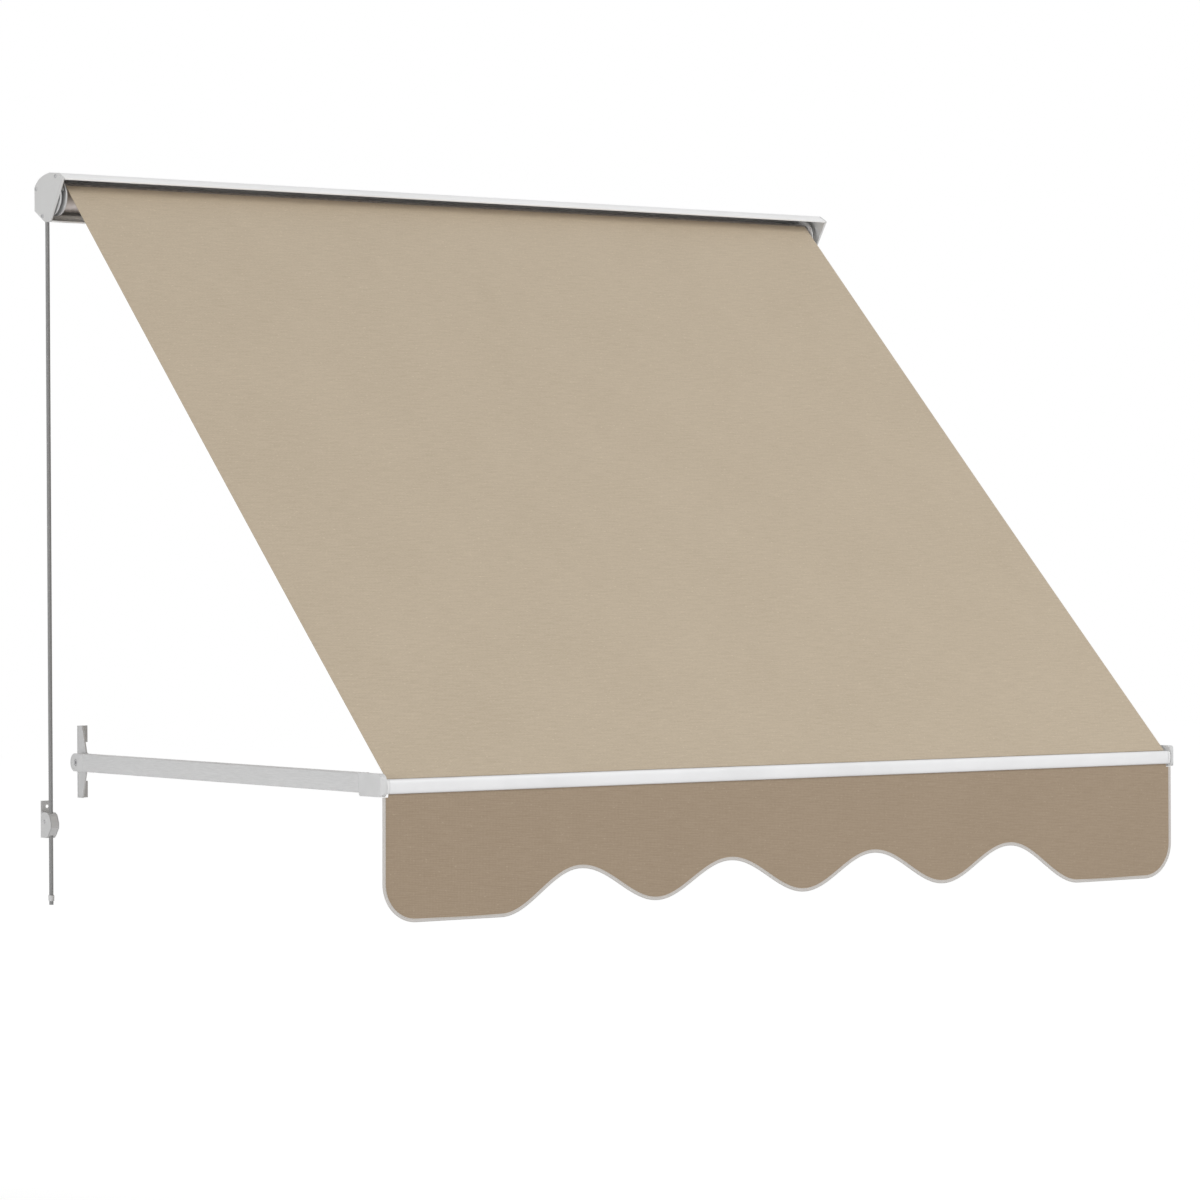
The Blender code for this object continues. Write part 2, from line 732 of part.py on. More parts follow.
def make_valance(pivot):
    top = bar_low - valance_drop
    inset = 2 * piping_r + gap
    hanging = [(half_valance - inset, top), (-half_valance + inset, top)] + valance_edge(inset)
    sheet = front_piece(hanging, valance_out - cloth / 2, valance_out + cloth / 2)
    centre = (valance_groove_out, bar_low + valance_groove_up)
    throat = (centre[0], centre[1] - welt_r - 2 * cloth)
    path = hem(centre, 270) + [throat, (valance_out, top - 2 * mm)]
    head = side_piece(strip(path, cloth * 1.3), -half_bar + mm, half_bar - mm)
    sheet = join(sheet, head)
    as_node(sheet, "valance", "valance_canvas", pivot)
    route = valance_edge(piping_r)
    top_left = (-half_valance + piping_r, top - 0.5 * mm)
    top_right = (half_valance - piping_r, top - 0.5 * mm)
    curve = bpy.data.curves.new("piping", "CURVE")
    curve.dimensions = "3D"
    curve.bevel_depth = piping_r
    curve.bevel_resolution = 1
    curve.use_fill_caps = True
    spline = curve.splines.new("POLY")
    route = [top_left] + route + [top_right]
    spline.points.add(len(route) - 1)
    for point, (x, z) in zip(spline.points, route):
        point.co = (x, -valance_out, z, 1)
    piping = bpy.data.objects.new("piping", curve)
    parts.objects.link(piping)
    as_node(made_mesh(piping), "valance_piping", "grey_binding", pivot, smooth=True)


def splayed(obj, side):
    # Slides each slice of an arm sideways, so that it runs out from the bracket to the bar's end
    slide = Matrix.Identity(4)
    slide[0][1] = -side * splay
    slide[0][3] = -side * splay * pivot_out
    obj.data.transform(slide)
    return obj


def make_arm(side, name, pivot):
    inner, outer = sorted((side * arm_inner_at_wall, side * arm_outer_at_wall))
    low, high = pivot_z - arm_height / 2, pivot_z + arm_height / 2
    wall = arm_wall
    cap_end = arm_end + wall_cap_length
    tube_ring = rounded_box(inner, outer, low, high, arm_corner)
    tube_bore = rounded_box(inner + wall, outer - wall, low + wall, high - wall, arm_corner - 0.8 * mm)
    tube = front_piece(tube_ring, cap_end + gap, fitting_out - gap, [tube_bore])
    as_node(splayed(tube, side), f"arm_tube_{name}", "brushed_aluminium", pivot, smooth=True)
    slack = wall + gap
    spigot_outline = rounded_box(inner + slack, outer - slack, low + slack, high - slack, 0.8 * mm, 2)

    end_r = arm_height / 2
    nose = arc((arm_end + end_r, pivot_z), end_r, 90, 270, 12)
    cap_outline = nose + [(cap_end, low), (cap_end, high)]
    cap = side_piece(cap_outline, inner, outer)
    cap = softened(cap, 1.2 * mm, 2, 60)
    cap = join(cap, front_piece(spigot_outline, cap_end - mm, cap_end + spigot_reach))
    cap = cut(cap, rod_x(bolt_r + gap, inner - mm, outer + mm, pivot_out, pivot_z))
    recess_at = side * (arm_outer_at_wall - bolt_recess)
    recess = rod_x(bolt_head_r + gap, recess_at, side * (arm_outer_at_wall + 2 * mm), pivot_out, pivot_z)
    cap = cut(cap, recess)
    as_node(splayed(cap, side), f"arm_wall_cap_{name}", "pale_moulding", pivot, smooth=True)

    spigot = splayed(front_piece(spigot_outline, fitting_out - spigot_reach, fitting_out + mm), side)
    fitting = join(fitting_body(side), spigot)
    bore = rod_x(bar_pin_r + gap, side * (fitting_inner - mm), side * (arm_outer_at_bar - 2 * mm),
                 bar_pivot_out, pivot_z)
    as_node(cut(fitting, bore), f"arm_front_fitting_{name}", "pale_moulding", pivot, smooth=True)


def fitting_body(side):
    # The moulded end of an arm: its side outline with a lobe below, rounded into the bar's front
    top = pivot_z + arm_height / 2
    sole = bar_low - fitting_lobe
    arm_low = pivot_z - arm_height / 2
    front = fitting_front
    outline = [(fitting_out, arm_low), (fitting_out, top)]
    outline += arc((front - fitting_top_r, top - fitting_top_r), fitting_top_r, 90, 0, 5)
    outline += arc((front - fitting_sole_r, sole + fitting_sole_r), fitting_sole_r, 0, -90, 5)
    outline += arc((fitting_out + fitting_heel_r, sole + fitting_heel_r), fitting_heel_r, -90, -180, 4)
    body = side_piece(outline, side * fitting_inner, side * arm_outer_at_bar)
    edge = fitting_edge
    corner = arc((arm_outer_at_bar - edge, front - edge), edge, 0, 90, 5)
    plan = [(fitting_inner - mm, fitting_out - mm), (arm_outer_at_bar, fitting_out - mm)] + corner
    plan += [(fitting_inner - mm, front)]
    plan = [(side * x, -out) for x, out in plan]
    envelope = extruded([plan], lambda z: Matrix.Translation((0, 0, z)), sole - mm, top + mm)
    body = combine(body, envelope, "INTERSECT")
    inner = arm_outer_at_bar - arm_thickness
    collar_end = fitting_out + collar_length
    collar = block(side * inner, side * arm_outer_at_bar, fitting_out, collar_end, arm_low, top)
    return join(body, collar)


def make_bracket(side, name):
    flange_outer = arm_inner_at_wall - 2 * gap - washer_thickness
    flange_inner = flange_outer - bracket_thickness
    half = bracket_height / 2
    angle = math.degrees(math.asin(bracket_waist_z / bracket_nose_r))
    nose = arc((bracket_nose_out, 0), bracket_nose_r, -angle, angle, 8)
    outline = [(0, -half), (bracket_foot, -half)] + nose + [(bracket_foot, half), (0, half)]
    outline = [(out, z + pivot_z) for out, z in outline]
    bracket = side_piece(outline, side * flange_inner, side * flange_outer)
    tab_edge = flange_outer - bracket_width
    for way in (-1, 1):
        z_a = pivot_z + way * half
        z_b = pivot_z + way * (half - tab_height)
        tab = block(side * tab_edge, side * (flange_outer - 0.5 * mm), 0, bracket_thickness, z_a, z_b)
        bracket = join(bracket, tab)
        hole_z = pivot_z + way * tab_hole_z
        hole_x = side * (flange_outer - tab_hole_in)
        bracket = cut(bracket, rod_y(tab_hole_r, -mm, bracket_thickness + mm, hole_x, hole_z, 20))
    bracket = cut(
        bracket, rod_x(bolt_r + gap, side * (flange_inner - mm), side * (flange_outer + mm), pivot_out, pivot_z)
    )
    as_node(bracket, f"wall_bracket_{name}", "grey_enamel")
    make_pivot_fasteners(side, name, flange_outer, flange_inner)


def make_pivot_fasteners(side, name, flange_outer, flange_inner):
    washer = turned(
        [
            (side * (flange_outer + gap), bolt_r + gap),
            (side * (flange_outer + gap), washer_r),
            (side * (flange_outer + gap + washer_thickness), washer_r),
            (side * (flange_outer + gap + washer_thickness), bolt_r + gap),
        ],
        pivot_out,
        pivot_z,
        closed=True,
    )
    as_node(washer, f"pivot_washer_{name}", "zinc", smooth=True)
    seat = arm_outer_at_wall - bolt_recess + gap
    tail = flange_inner - gap - nut_height - 1.5 * mm
    bolt = turned(
        [
            (side * (tail), 0),
            (side * (tail), bolt_r - 0.4 * mm),
            (side * (tail + 0.4 * mm), bolt_r),
            (side * seat, bolt_r),
            (side * seat, bolt_head_r),
            (side * (seat + 0.7 * bolt_head_height), bolt_head_r),
            (side * (seat + bolt_head_height), 0.85 * bolt_head_r),
            (side * (seat + bolt_head_height), 0),
        ],
        pivot_out,
        pivot_z,
    )
    socket_at = seat + bolt_head_height - hex_depth
    socket = rod_x(hex_r, side * socket_at, side * (seat + bolt_head_height + mm), pivot_out, pivot_z, 6)
    as_node(cut(bolt, socket), f"pivot_bolt_{name}", "zinc", smooth=True)
    nut_face = flange_inner - gap
    nut = rod_x(nut_r, side * (nut_face - nut_height), side * nut_face, pivot_out, pivot_z, 6)
    bore = rod_x(bolt_r + gap, side * (flange_inner - nut_height - 2 * mm), side * (flange_inner + mm),
                 pivot_out, pivot_z)
    as_node(cut(nut, bore), f"pivot_nut_{name}", "zinc")


def lock_outline(back):
    nose = [(out * mm, bar_low + up * mm) for out, up in lock_nose]
    return [(back, bar_low + lock_low_up), (back, bar_low + lock_top_up)] + nose


def make_lock():
    half = cheek_spread / 2
    left = cord_x - half
    right = cord_x + half
    plate = block(left - cheek_thickness, cord_x + lock_plate_right, 0, lock_plate_thickness,
                  bar_low + lock_low_up, bar_low + lock_plate_top_up)
    for x_a, x_b in ((left - cheek_thickness, left), (right, right + cheek_thickness)):
        plate = join(plate, side_piece(lock_outline(0), x_a, x_b))
    hole_z = bar_low + lock_hole_up
    hole_x = cord_x + lock_hole_right
    plate = cut(plate, rod_y(lock_hole_r, -mm, lock_plate_thickness + mm, hole_x, hole_z, 20))
    cam_z = bar_low + cam_up
    across = (left - 3 * mm, right + 3 * mm)
    plate = cut(plate, rod_x(cam_pin_r + gap, *across, cam_out, cam_z, 16))
    as_node(plate, "lock_bracket", "grey_enamel")

    housing = side_piece(lock_outline(lock_plate_thickness + gap), left + gap, right - gap)
    passage = cord_r + gap
    way = bmesh.new()
    bmesh.ops.create_cone(way, cap_ends=True, segments=20, radius1=passage, radius2=passage, depth=60 * mm)
    middle = Vector((cord_x, -cord_out, cam_z))
    bmesh.ops.translate(way, vec=middle, verts=way.verts)
    housing = cut(housing, new_mesh_object(way))
    room = cam_width / 2 + gap
    reach = cam_most_r + cam_tooth + 0.6 * mm
    chamber = block(cord_x - room, cord_x + room, cam_out - cam_back_r - 0.8 * mm, cord_out,
                    cam_z - reach, cam_z + reach)
    housing = cut(housing, chamber, rod_x(cam_pin_r + gap, *across, cam_out, cam_z, 16))
    as_node(housing, "lock_housing", "pale_moulding")

    head = cheek_thickness + gap
    profile = [
        (left - head - cam_pin_head, 0),
        (left - head - cam_pin_head, 0.7 * cam_pin_head_r),
        (left - head - 0.4 * cam_pin_head, cam_pin_head_r),
        (left - head, cam_pin_head_r),
        (left - head, cam_pin_r),
        (right + head, cam_pin_r),
        (right + head, cam_pin_head_r),
        (right + head + cam_pin_head, 0.7 * cam_pin_head_r),
        (right + head + cam_pin_head, 0),
    ]
    as_node(turned(profile, cam_out, cam_z, steps=16), "lock_pin", "zinc", smooth=True)


def make_cam(pivot):
    # A toothed cam whose radius grows below its pin, so that a cord pulled upwards jams it
    span = 65
    teeth = []
    for i in range(2 * cam_teeth + 1):
        share = i / (2 * cam_teeth)
        radius = cam_least_r + (cam_most_r - cam_least_r) * share - (i % 2) * cam_tooth
        angle = math.radians(-span * share)
        teeth.append((radius * math.cos(angle), radius * math.sin(angle)))
    back = arc((0, 0), cam_back_r, -span - 45, -325, 12)
    z = bar_low + cam_up
    outline = [(cam_out + a, z + b) for a, b in teeth + back]
    hole = arc((cam_out, z), cam_pin_r + gap, 0, 360, 16)[:-1]
    cam = side_piece(outline, cord_x - cam_width / 2, cord_x + cam_width / 2, [hole])
    as_node(cam, "lock_cam", "zinc", pivot)


def cord_points():
    # Over the spool's full winding, then straight down through the lock
    wrapped = 10
    start = math.pi - cord_wrap
    points = []
    for i in range(wrapped + 1):
        angle = start + cord_wrap * i / wrapped
        points.append((roller_out + cord_turn_r * math.cos(angle), cord_turn_r * math.sin(angle)))
    drop = bar_low + cord_end_up
    hanging = 24
    points += [(cord_out, drop * i / hanging) for i in range(1, hanging + 1)]
    return [(cord_x, -out, z) for out, z in points]


def make_cord():
    curve = bpy.data.curves.new("cord", "CURVE")
    curve.dimensions = "3D"
    curve.bevel_depth = cord_r
    curve.bevel_resolution = 2
    curve.use_fill_caps = True
    spline = curve.splines.new("POLY")
    points = cord_points()
    spline.points.add(len(points) - 1)
    for point, place in zip(spline.points, points):
        point.co = (*place, 1)
    cord = bpy.data.objects.new("cord", curve)
    parts.objects.link(cord)
    as_node(cord, "cord", "grey_braid")
    top = bar_low + tip_top_up
    low = top - tip_length
    wall = [(cord_r + gap, top), (tip_r, top), (tip_r, low), (cord_r + gap, low)]
    shape = bmesh.new()
    points = [shape.verts.new((radius, 0, z)) for radius, z in wall]
    for first, second in zip(points, points[1:] + points[:1]):
        shape.edges.new((first, second))
    sleeve = new_mesh_object(shape)
    sleeve.location = (cord_x, -cord_out, 0)
    screw = sleeve.modifiers.new("turn", "SCREW")
    screw.steps = 20
    screw.render_steps = 20
    screw.merge_threshold = 0.00001
    as_node(made_mesh(sleeve), "cord_tip", "pale_moulding", smooth=True)


def main():
    clear_scene()
    roller_pivot = pivot_at("roller_pivot", 0, roller_out, 0)
    canopy_pivot = pivot_at("canopy_pivot", 0, roller_out, 0)
    bar_pivot = pivot_at("bar_pivot", 0, bar_pivot_out, pivot_z)
    cam_pivot = pivot_at("cam_pivot", cord_x, cam_out, bar_low + cam_up)
    make_casing()
    for side, name in ((-1, "left"), (1, "right")):
        arm_pivot = pivot_at(f"arm_pivot_{name}", side * arm_inner_at_wall, pivot_out, pivot_z)
        make_end_plate(side, name)
        make_bracket(side, name)
        make_arm(side, name, arm_pivot)
        make_end_plug(side, name, bar_pivot)
    make_roller(roller_pivot)
    make_plug(-1, 2, "cord_spool", "left", roller_pivot)
    make_plug(1, 1, "roller_plug_right", "right", roller_pivot)
    make_windings(roller_pivot)
    make_canopy(canopy_pivot)
    make_bar(bar_pivot)
    make_valance(bar_pivot)
    make_lock()
    make_cam(cam_pivot)
    make_cord()


main()
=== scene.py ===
import math

import bmesh
import bpy
from mathutils import Matrix, Vector, noise


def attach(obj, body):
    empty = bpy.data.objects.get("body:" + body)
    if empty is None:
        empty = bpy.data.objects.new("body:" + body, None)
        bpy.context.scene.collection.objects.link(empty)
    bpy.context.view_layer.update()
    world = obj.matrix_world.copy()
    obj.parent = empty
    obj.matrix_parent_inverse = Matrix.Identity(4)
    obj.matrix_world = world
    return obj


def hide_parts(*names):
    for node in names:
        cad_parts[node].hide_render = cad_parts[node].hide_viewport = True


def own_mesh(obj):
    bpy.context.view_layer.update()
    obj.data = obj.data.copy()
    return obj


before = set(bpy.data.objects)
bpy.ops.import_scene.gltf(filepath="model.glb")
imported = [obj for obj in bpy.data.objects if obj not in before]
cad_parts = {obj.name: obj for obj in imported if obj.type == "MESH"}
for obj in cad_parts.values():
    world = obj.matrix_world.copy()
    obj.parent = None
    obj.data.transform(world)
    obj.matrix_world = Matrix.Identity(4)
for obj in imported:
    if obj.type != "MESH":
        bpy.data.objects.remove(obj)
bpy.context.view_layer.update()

mm = 0.001


def hexColour(code):  # sRGB hex to the linear values that Blender works in
    channels = [int(code[i:i + 2], 16) / 255 for i in (1, 3, 5)]
    return tuple(c / 12.92 if c <= 0.04045 else ((c + 0.055) / 1.055) ** 2.4 for c in channels) + (1,)


def dimmed(colour, share):
    return tuple(c * share for c in colour[:3]) + (1,)


def waveScale(spacing):  # a wave texture's bands lie 2 pi / 20 apart at a scale of 1
    return 2 * math.pi / (20 * spacing)


def addNode(tree, kind, settings=None, links=None):  # a node, its settings, and what feeds it
    # A Mix node has several sockets of one name, so its colours go by number: inputs 6 and 7, output 2
    node = tree.nodes.new(kind)
    for key, value in (settings or {}).items():
        if isinstance(key, str) and hasattr(node, key):
            setattr(node, key, value)
        else:
            node.inputs[key].default_value = value
    for key, source in (links or {}).items():
        tree.links.new(source, node.inputs[key])
    return node


def startMaterial(name):
    material = bpy.data.materials.new(name)
    material.use_nodes = True
    tree = material.node_tree
    tree.nodes.clear()
    out = tree.nodes.new("ShaderNodeOutputMaterial")
    return material, tree, out


def makeMesh(name, points, faces, material, smooth=True):
    mesh = bpy.data.meshes.new(name)
    mesh.from_pydata([tuple(p) for p in points], [], faces)
    mesh.validate()
    piece = bpy.data.objects.new(name, mesh)
    bpy.context.scene.collection.objects.link(piece)
    mesh.materials.append(material)
    if smooth:
        mesh.shade_smooth()
    return piece


def joinRings(first, second, sides):  # quads between two rings of points, each given by its first point
    return [(first + k, first + (k + 1) % sides, second + (k + 1) % sides, second + k) for k in range(sides)]


def ringCap(first, sides):
    return tuple(first + k for k in range(sides))


def tidyNormals(piece, sharpFrom=None):  # all outwards, and edges sharp from so many degrees
    shape = bmesh.new()
    shape.from_mesh(piece.data)
    bmesh.ops.recalc_face_normals(shape, faces=shape.faces)
    shape.to_mesh(piece.data)
    shape.free()
    if sharpFrom:
        piece.data.set_sharp_from_angle(angle=math.radians(sharpFrom))


cameraSet = {
    "place": (-3.2406, -4.8544, -0.4874),
    "along": (0.58551, 0.81066, -0.00402),   # the way it looks
    "right": (0.81064, -0.58552, -0.00545),
    "lens": 130.2,                           # mm, as is the sensor's width
    "sensor": 36,
}


def makeCamera(c):
    data = bpy.data.cameras.new("viewCamera")
    data.lens = c["lens"]
    data.sensor_width = c["sensor"]
    data.clip_end = 100
    camera = bpy.data.objects.new("viewCamera", data)
    bpy.context.scene.collection.objects.link(camera)
    along = Vector(c["along"]).normalized()
    right = Vector(c["right"])
    right = (right - along * right.dot(along)).normalized()
    turn = Matrix((right, right.cross(along), -along)).transposed()
    camera.matrix_world = Matrix.Translation(c["place"]) @ turn.to_4x4()
    bpy.context.scene.camera = camera


studio = {
    "floorHeight": -1.6,
    "floorSide": 40.0,
    "floorColour": "#f4f4f4",
    # What lifts the floor to plain white: less where the object's shadow falls, so that it shows
    "glowMiddle": (-0.5, 0.8, 0),
    "glowFrom": (1.3, 0.42),      # metres from that middle, and how strong
    "glowTo": (3.0, 0.54),
    "skyLevel": 0.51,        # what the sky gives the surfaces; it shows as plain white
    "lamps": {
        # name: place, aim, side of the square lamp in metres, watts
        "keyLamp": ((1.5, -4.8, 2.8), (0, -0.4, -0.4), 2.6, 121),
        "sideLamp": ((-7.5, -3.0, -0.8), (0, -0.4, -0.4), 2.4, 186),
    },
}


def seenDirectly(tree):  # 1 for a ray from the camera, a reflection or a clear piece
    path = addNode(tree, "ShaderNodeLightPath")
    seen = addNode(tree, "ShaderNodeMath", {"operation": "MAXIMUM"},
                   {0: path.outputs["Is Camera Ray"], 1: path.outputs["Is Glossy Ray"]})
    return addNode(tree, "ShaderNodeMath", {"operation": "MAXIMUM"},
                   {0: seen.outputs[0], 1: path.outputs["Is Transmission Ray"]})


def makeStudio(s):
    scene = bpy.context.scene
    scene.view_settings.view_transform = "Standard"
    world = bpy.data.worlds.new("paleStudio")
    scene.world = world
    world.use_nodes = True
    tree = world.node_tree
    tree.nodes.clear()
    seen = seenDirectly(tree)
    level = addNode(tree, "ShaderNodeMapRange", {"To Min": s["skyLevel"], "To Max": 1.0},
                    {0: seen.outputs[0]})
    sky = addNode(tree, "ShaderNodeBackground", {"Color": (1, 1, 1, 1)}, {"Strength": level.outputs[0]})
    addNode(tree, "ShaderNodeOutputWorld", None, {"Surface": sky.outputs[0]})

    material, tree, out = startMaterial("paleFloorPaint")  # even and matt, a touch of shade only
    paint = addNode(tree, "ShaderNodeBsdfDiffuse", {"Color": hexColour(s["floorColour"])})
    seen = seenDirectly(tree)
    away = addNode(tree, "ShaderNodeVectorMath", {"operation": "DISTANCE", 1: s["glowMiddle"]},
                   {0: addNode(tree, "ShaderNodeTexCoord").outputs["Object"]})
    lift = addNode(tree, "ShaderNodeMapRange", {"From Min": s["glowFrom"][0], "From Max": s["glowTo"][0],
                                                "To Min": s["glowFrom"][1], "To Max": s["glowTo"][1]},
                   {0: away.outputs["Value"]})
    lift = addNode(tree, "ShaderNodeMath", {"operation": "MULTIPLY"}, {0: lift.outputs[0], 1: seen.outputs[0]})
    glow = addNode(tree, "ShaderNodeEmission", {"Color": (1, 1, 1, 1)}, {"Strength": lift.outputs[0]})
    both = addNode(tree, "ShaderNodeAddShader", None, {0: paint.outputs[0], 1: glow.outputs[0]})
    tree.links.new(both.outputs[0], out.inputs["Surface"])
    half = s["floorSide"] / 2
    floor = makeMesh("studioFloor", [(-half, -half, 0), (half, -half, 0), (half, half, 0), (-half, half, 0)],
                     [(0, 1, 2, 3)], material, smooth=False)
    floor.location.z = s["floorHeight"]
    for name, (place, aim, side, watts) in s["lamps"].items():
        data = bpy.data.lights.new(name, "AREA")
        data.shape = "SQUARE"
        data.size = side
        data.energy = watts
        lamp = bpy.data.objects.new(name, data)
        scene.collection.objects.link(lamp)
        lamp.location = place
        lamp.rotation_euler = (Vector(aim) - Vector(place)).to_track_quat("-Z", "Y").to_euler()


makeCamera(cameraSet)
makeStudio(studio)
print("camera, floor and light are set")


def wovenCanvas(name, colour, shade, paleFleck):
    # Solution-dyed acrylic, plain weave: matt, with a fine grid of threads, thicker slubs in the weft, specks,
    # pale flecks and a cloudy tone. The real threads are 0.5 mm apart, too fine to show, so they are drawn 2 mm
    # apart and the specks and flecks 2 to 4 mm wide.
    material, tree, out = startMaterial(name)
    cloth = addNode(tree, "ShaderNodeUVMap", {"uv_map": "clothMetres"}).outputs[0]
    threadScale = waveScale(2.0 * mm)
    warp = addNode(tree, "ShaderNodeTexWave", {"bands_direction": "X", "Scale": threadScale, "Distortion": 0.6,
                                               "Detail": 1.0, "Detail Scale": 0.4}, {"Vector": cloth})
    weft = addNode(tree, "ShaderNodeTexWave", {"bands_direction": "Y", "Scale": threadScale, "Distortion": 0.9,
                                               "Detail": 1.0, "Detail Scale": 0.4}, {"Vector": cloth})
    grid = addNode(tree, "ShaderNodeMath", {"operation": "MULTIPLY"},
                   {0: warp.outputs["Fac"], 1: weft.outputs["Fac"]})
    slubWay = addNode(tree, "ShaderNodeMapping", {"Scale": (1 / (26.3 * mm), 1 / (1.786 * mm), 1)},
                      {"Vector": cloth})
    slub = addNode(tree, "ShaderNodeTexNoise", {"Scale": 1.0, "Detail": 2.0, "Roughness": 0.6},
                   {"Vector": slubWay.outputs[0]})
    speck = addNode(tree, "ShaderNodeTexNoise", {"Scale": 1 / (3.03 * mm), "Detail": 2.0, "Roughness": 0.7},
                    {"Vector": cloth})
    cloud = addNode(tree, "ShaderNodeTexNoise", {"Scale": 1 / (143 * mm), "Detail": 3.0, "Roughness": 0.55},
                    {"Vector": cloth})
    tone = addNode(tree, "ShaderNodeMath", {"operation": "MULTIPLY_ADD", 1: 0.30}, {
        0: slub.outputs["Fac"],
        2: addNode(tree, "ShaderNodeMath", {"operation": "MULTIPLY_ADD", 1: 0.25}, {
            0: speck.outputs["Fac"],
            2: addNode(tree, "ShaderNodeMath", {"operation": "MULTIPLY_ADD", 1: 0.10}, {
                0: cloud.outputs["Fac"],
                2: addNode(tree, "ShaderNodeMath", {"operation": "MULTIPLY", 1: 0.20},
                           {0: grid.outputs[0]}).outputs[0]}).outputs[0]}).outputs[0]})
    mix = addNode(tree, "ShaderNodeMapRange", {"From Min": 0.265, "From Max": 0.505}, {0: tone.outputs[0]})
    dyed = addNode(tree, "ShaderNodeMix", {"data_type": "RGBA", 6: hexColour(shade), 7: hexColour(colour)},
                   {0: mix.outputs[0]})
    fleckWay = addNode(tree, "ShaderNodeMapping", {"Scale": (1 / (4.348 * mm), 1 / (2.381 * mm), 1)},
                       {"Vector": cloth})
    fleck = addNode(tree, "ShaderNodeTexNoise", {"Scale": 1.0, "Detail": 1.0}, {"Vector": fleckWay.outputs[0]})
    fleck = addNode(tree, "ShaderNodeMapRange", {"From Min": 0.67, "From Max": 0.76, "To Max": 0.5},
                    {0: fleck.outputs["Fac"]})
    dyed = addNode(tree, "ShaderNodeMix", {"data_type": "RGBA", 7: hexColour(paleFleck)},
                   {0: fleck.outputs[0], 6: dyed.outputs[2]})
    height = addNode(tree, "ShaderNodeMath", {"operation": "MULTIPLY_ADD", 1: 0.6},
                     {0: slub.outputs["Fac"], 2: grid.outputs[0]})
    bump = addNode(tree, "ShaderNodeBump", {"Strength": 0.35, "Distance": 0.12 * mm},
                   {"Height": height.outputs[0]})
    skin = addNode(tree, "ShaderNodeBsdfPrincipled", {"Roughness": 0.92, "IOR": 1.45, "Sheen Weight": 0.12,
                                                      "Sheen Roughness": 0.5, "Specular IOR Level": 0.25},
                   {"Base Color": dyed.outputs[2], "Normal": bump.outputs[0]})
    tree.links.new(skin.outputs[0], out.inputs["Surface"])
    return material


def powderCoat(name, colour, roughness=0.38):
    # Polyester powder baked on metal: satin, with a faint orange peel 1.5 mm wide and a tone that clouds
    material, tree, out = startMaterial(name)
    place = addNode(tree, "ShaderNodeTexCoord").outputs["Object"]
    peel = addNode(tree, "ShaderNodeTexNoise", {"Scale": 1 / (1.5 * mm), "Detail": 1.0}, {"Vector": place})
    haze = addNode(tree, "ShaderNodeTexNoise", {"Scale": 1 / (111 * mm), "Detail": 4.0, "Roughness": 0.6},
                   {"Vector": place})
    base = hexColour(colour)
    dull = dimmed(base, 0.94)
    paint = addNode(tree, "ShaderNodeMix", {"data_type": "RGBA", 6: dull, 7: base}, {
        0: addNode(tree, "ShaderNodeMapRange", {"From Min": 0.35, "From Max": 0.6},
                   {0: haze.outputs["Fac"]}).outputs[0]})
    rough = addNode(tree, "ShaderNodeMapRange", {"To Min": roughness - 0.05, "To Max": roughness + 0.08},
                    {0: haze.outputs["Fac"]})
    bump = addNode(tree, "ShaderNodeBump", {"Strength": 0.12, "Distance": 0.05 * mm},
                   {"Height": peel.outputs["Fac"]})
    skin = addNode(tree, "ShaderNodeBsdfPrincipled", {"IOR": 1.5, "Coat Weight": 0.1, "Coat Roughness": 0.3}, {
        "Base Color": paint.outputs[2], "Roughness": rough.outputs[0], "Normal": bump.outputs[0]})
    tree.links.new(skin.outputs[0], out.inputs["Surface"])
    return material


def brushedAluminium(name, colour):
    # Extruded, brushed along its length and clear anodised: long fine streaks under a matt skin that scatters
    # most of the light. Real brush lines are 0.1 mm wide, too fine to show, so they are drawn 0.9 mm wide.
    material, tree, out = startMaterial(name)
    place = addNode(tree, "ShaderNodeTexCoord").outputs["Object"]
    along = addNode(tree, "ShaderNodeMapping", {"Scale": (1 / (0.9 * mm), 1 / (70 * mm), 1 / (0.9 * mm))},
                    {"Vector": place})
    streak = addNode(tree, "ShaderNodeTexNoise", {"Scale": 1.0, "Detail": 3.0, "Roughness": 0.7},
                     {"Vector": along.outputs[0]})
    base = hexColour(colour)
    dull = dimmed(base, 0.88)
    metal = addNode(tree, "ShaderNodeMix", {"data_type": "RGBA", 6: dull, 7: base}, {
        0: addNode(tree, "ShaderNodeMapRange", {"From Min": 0.35, "From Max": 0.65},
                   {0: streak.outputs["Fac"]}).outputs[0]})
    rough = addNode(tree, "ShaderNodeMapRange", {"To Min": 0.34, "To Max": 0.5}, {0: streak.outputs["Fac"]})
    bump = addNode(tree, "ShaderNodeBump", {"Strength": 0.12, "Distance": 0.03 * mm},
                   {"Height": streak.outputs["Fac"]})
    skin = addNode(tree, "ShaderNodeBsdfPrincipled", {"Metallic": 0.15, "Anisotropic": 0.4}, {
        "Base Color": metal.outputs[2], "Roughness": rough.outputs[0], "Normal": bump.outputs[0]})
    tree.links.new(skin.outputs[0], out.inputs["Surface"])
    return material


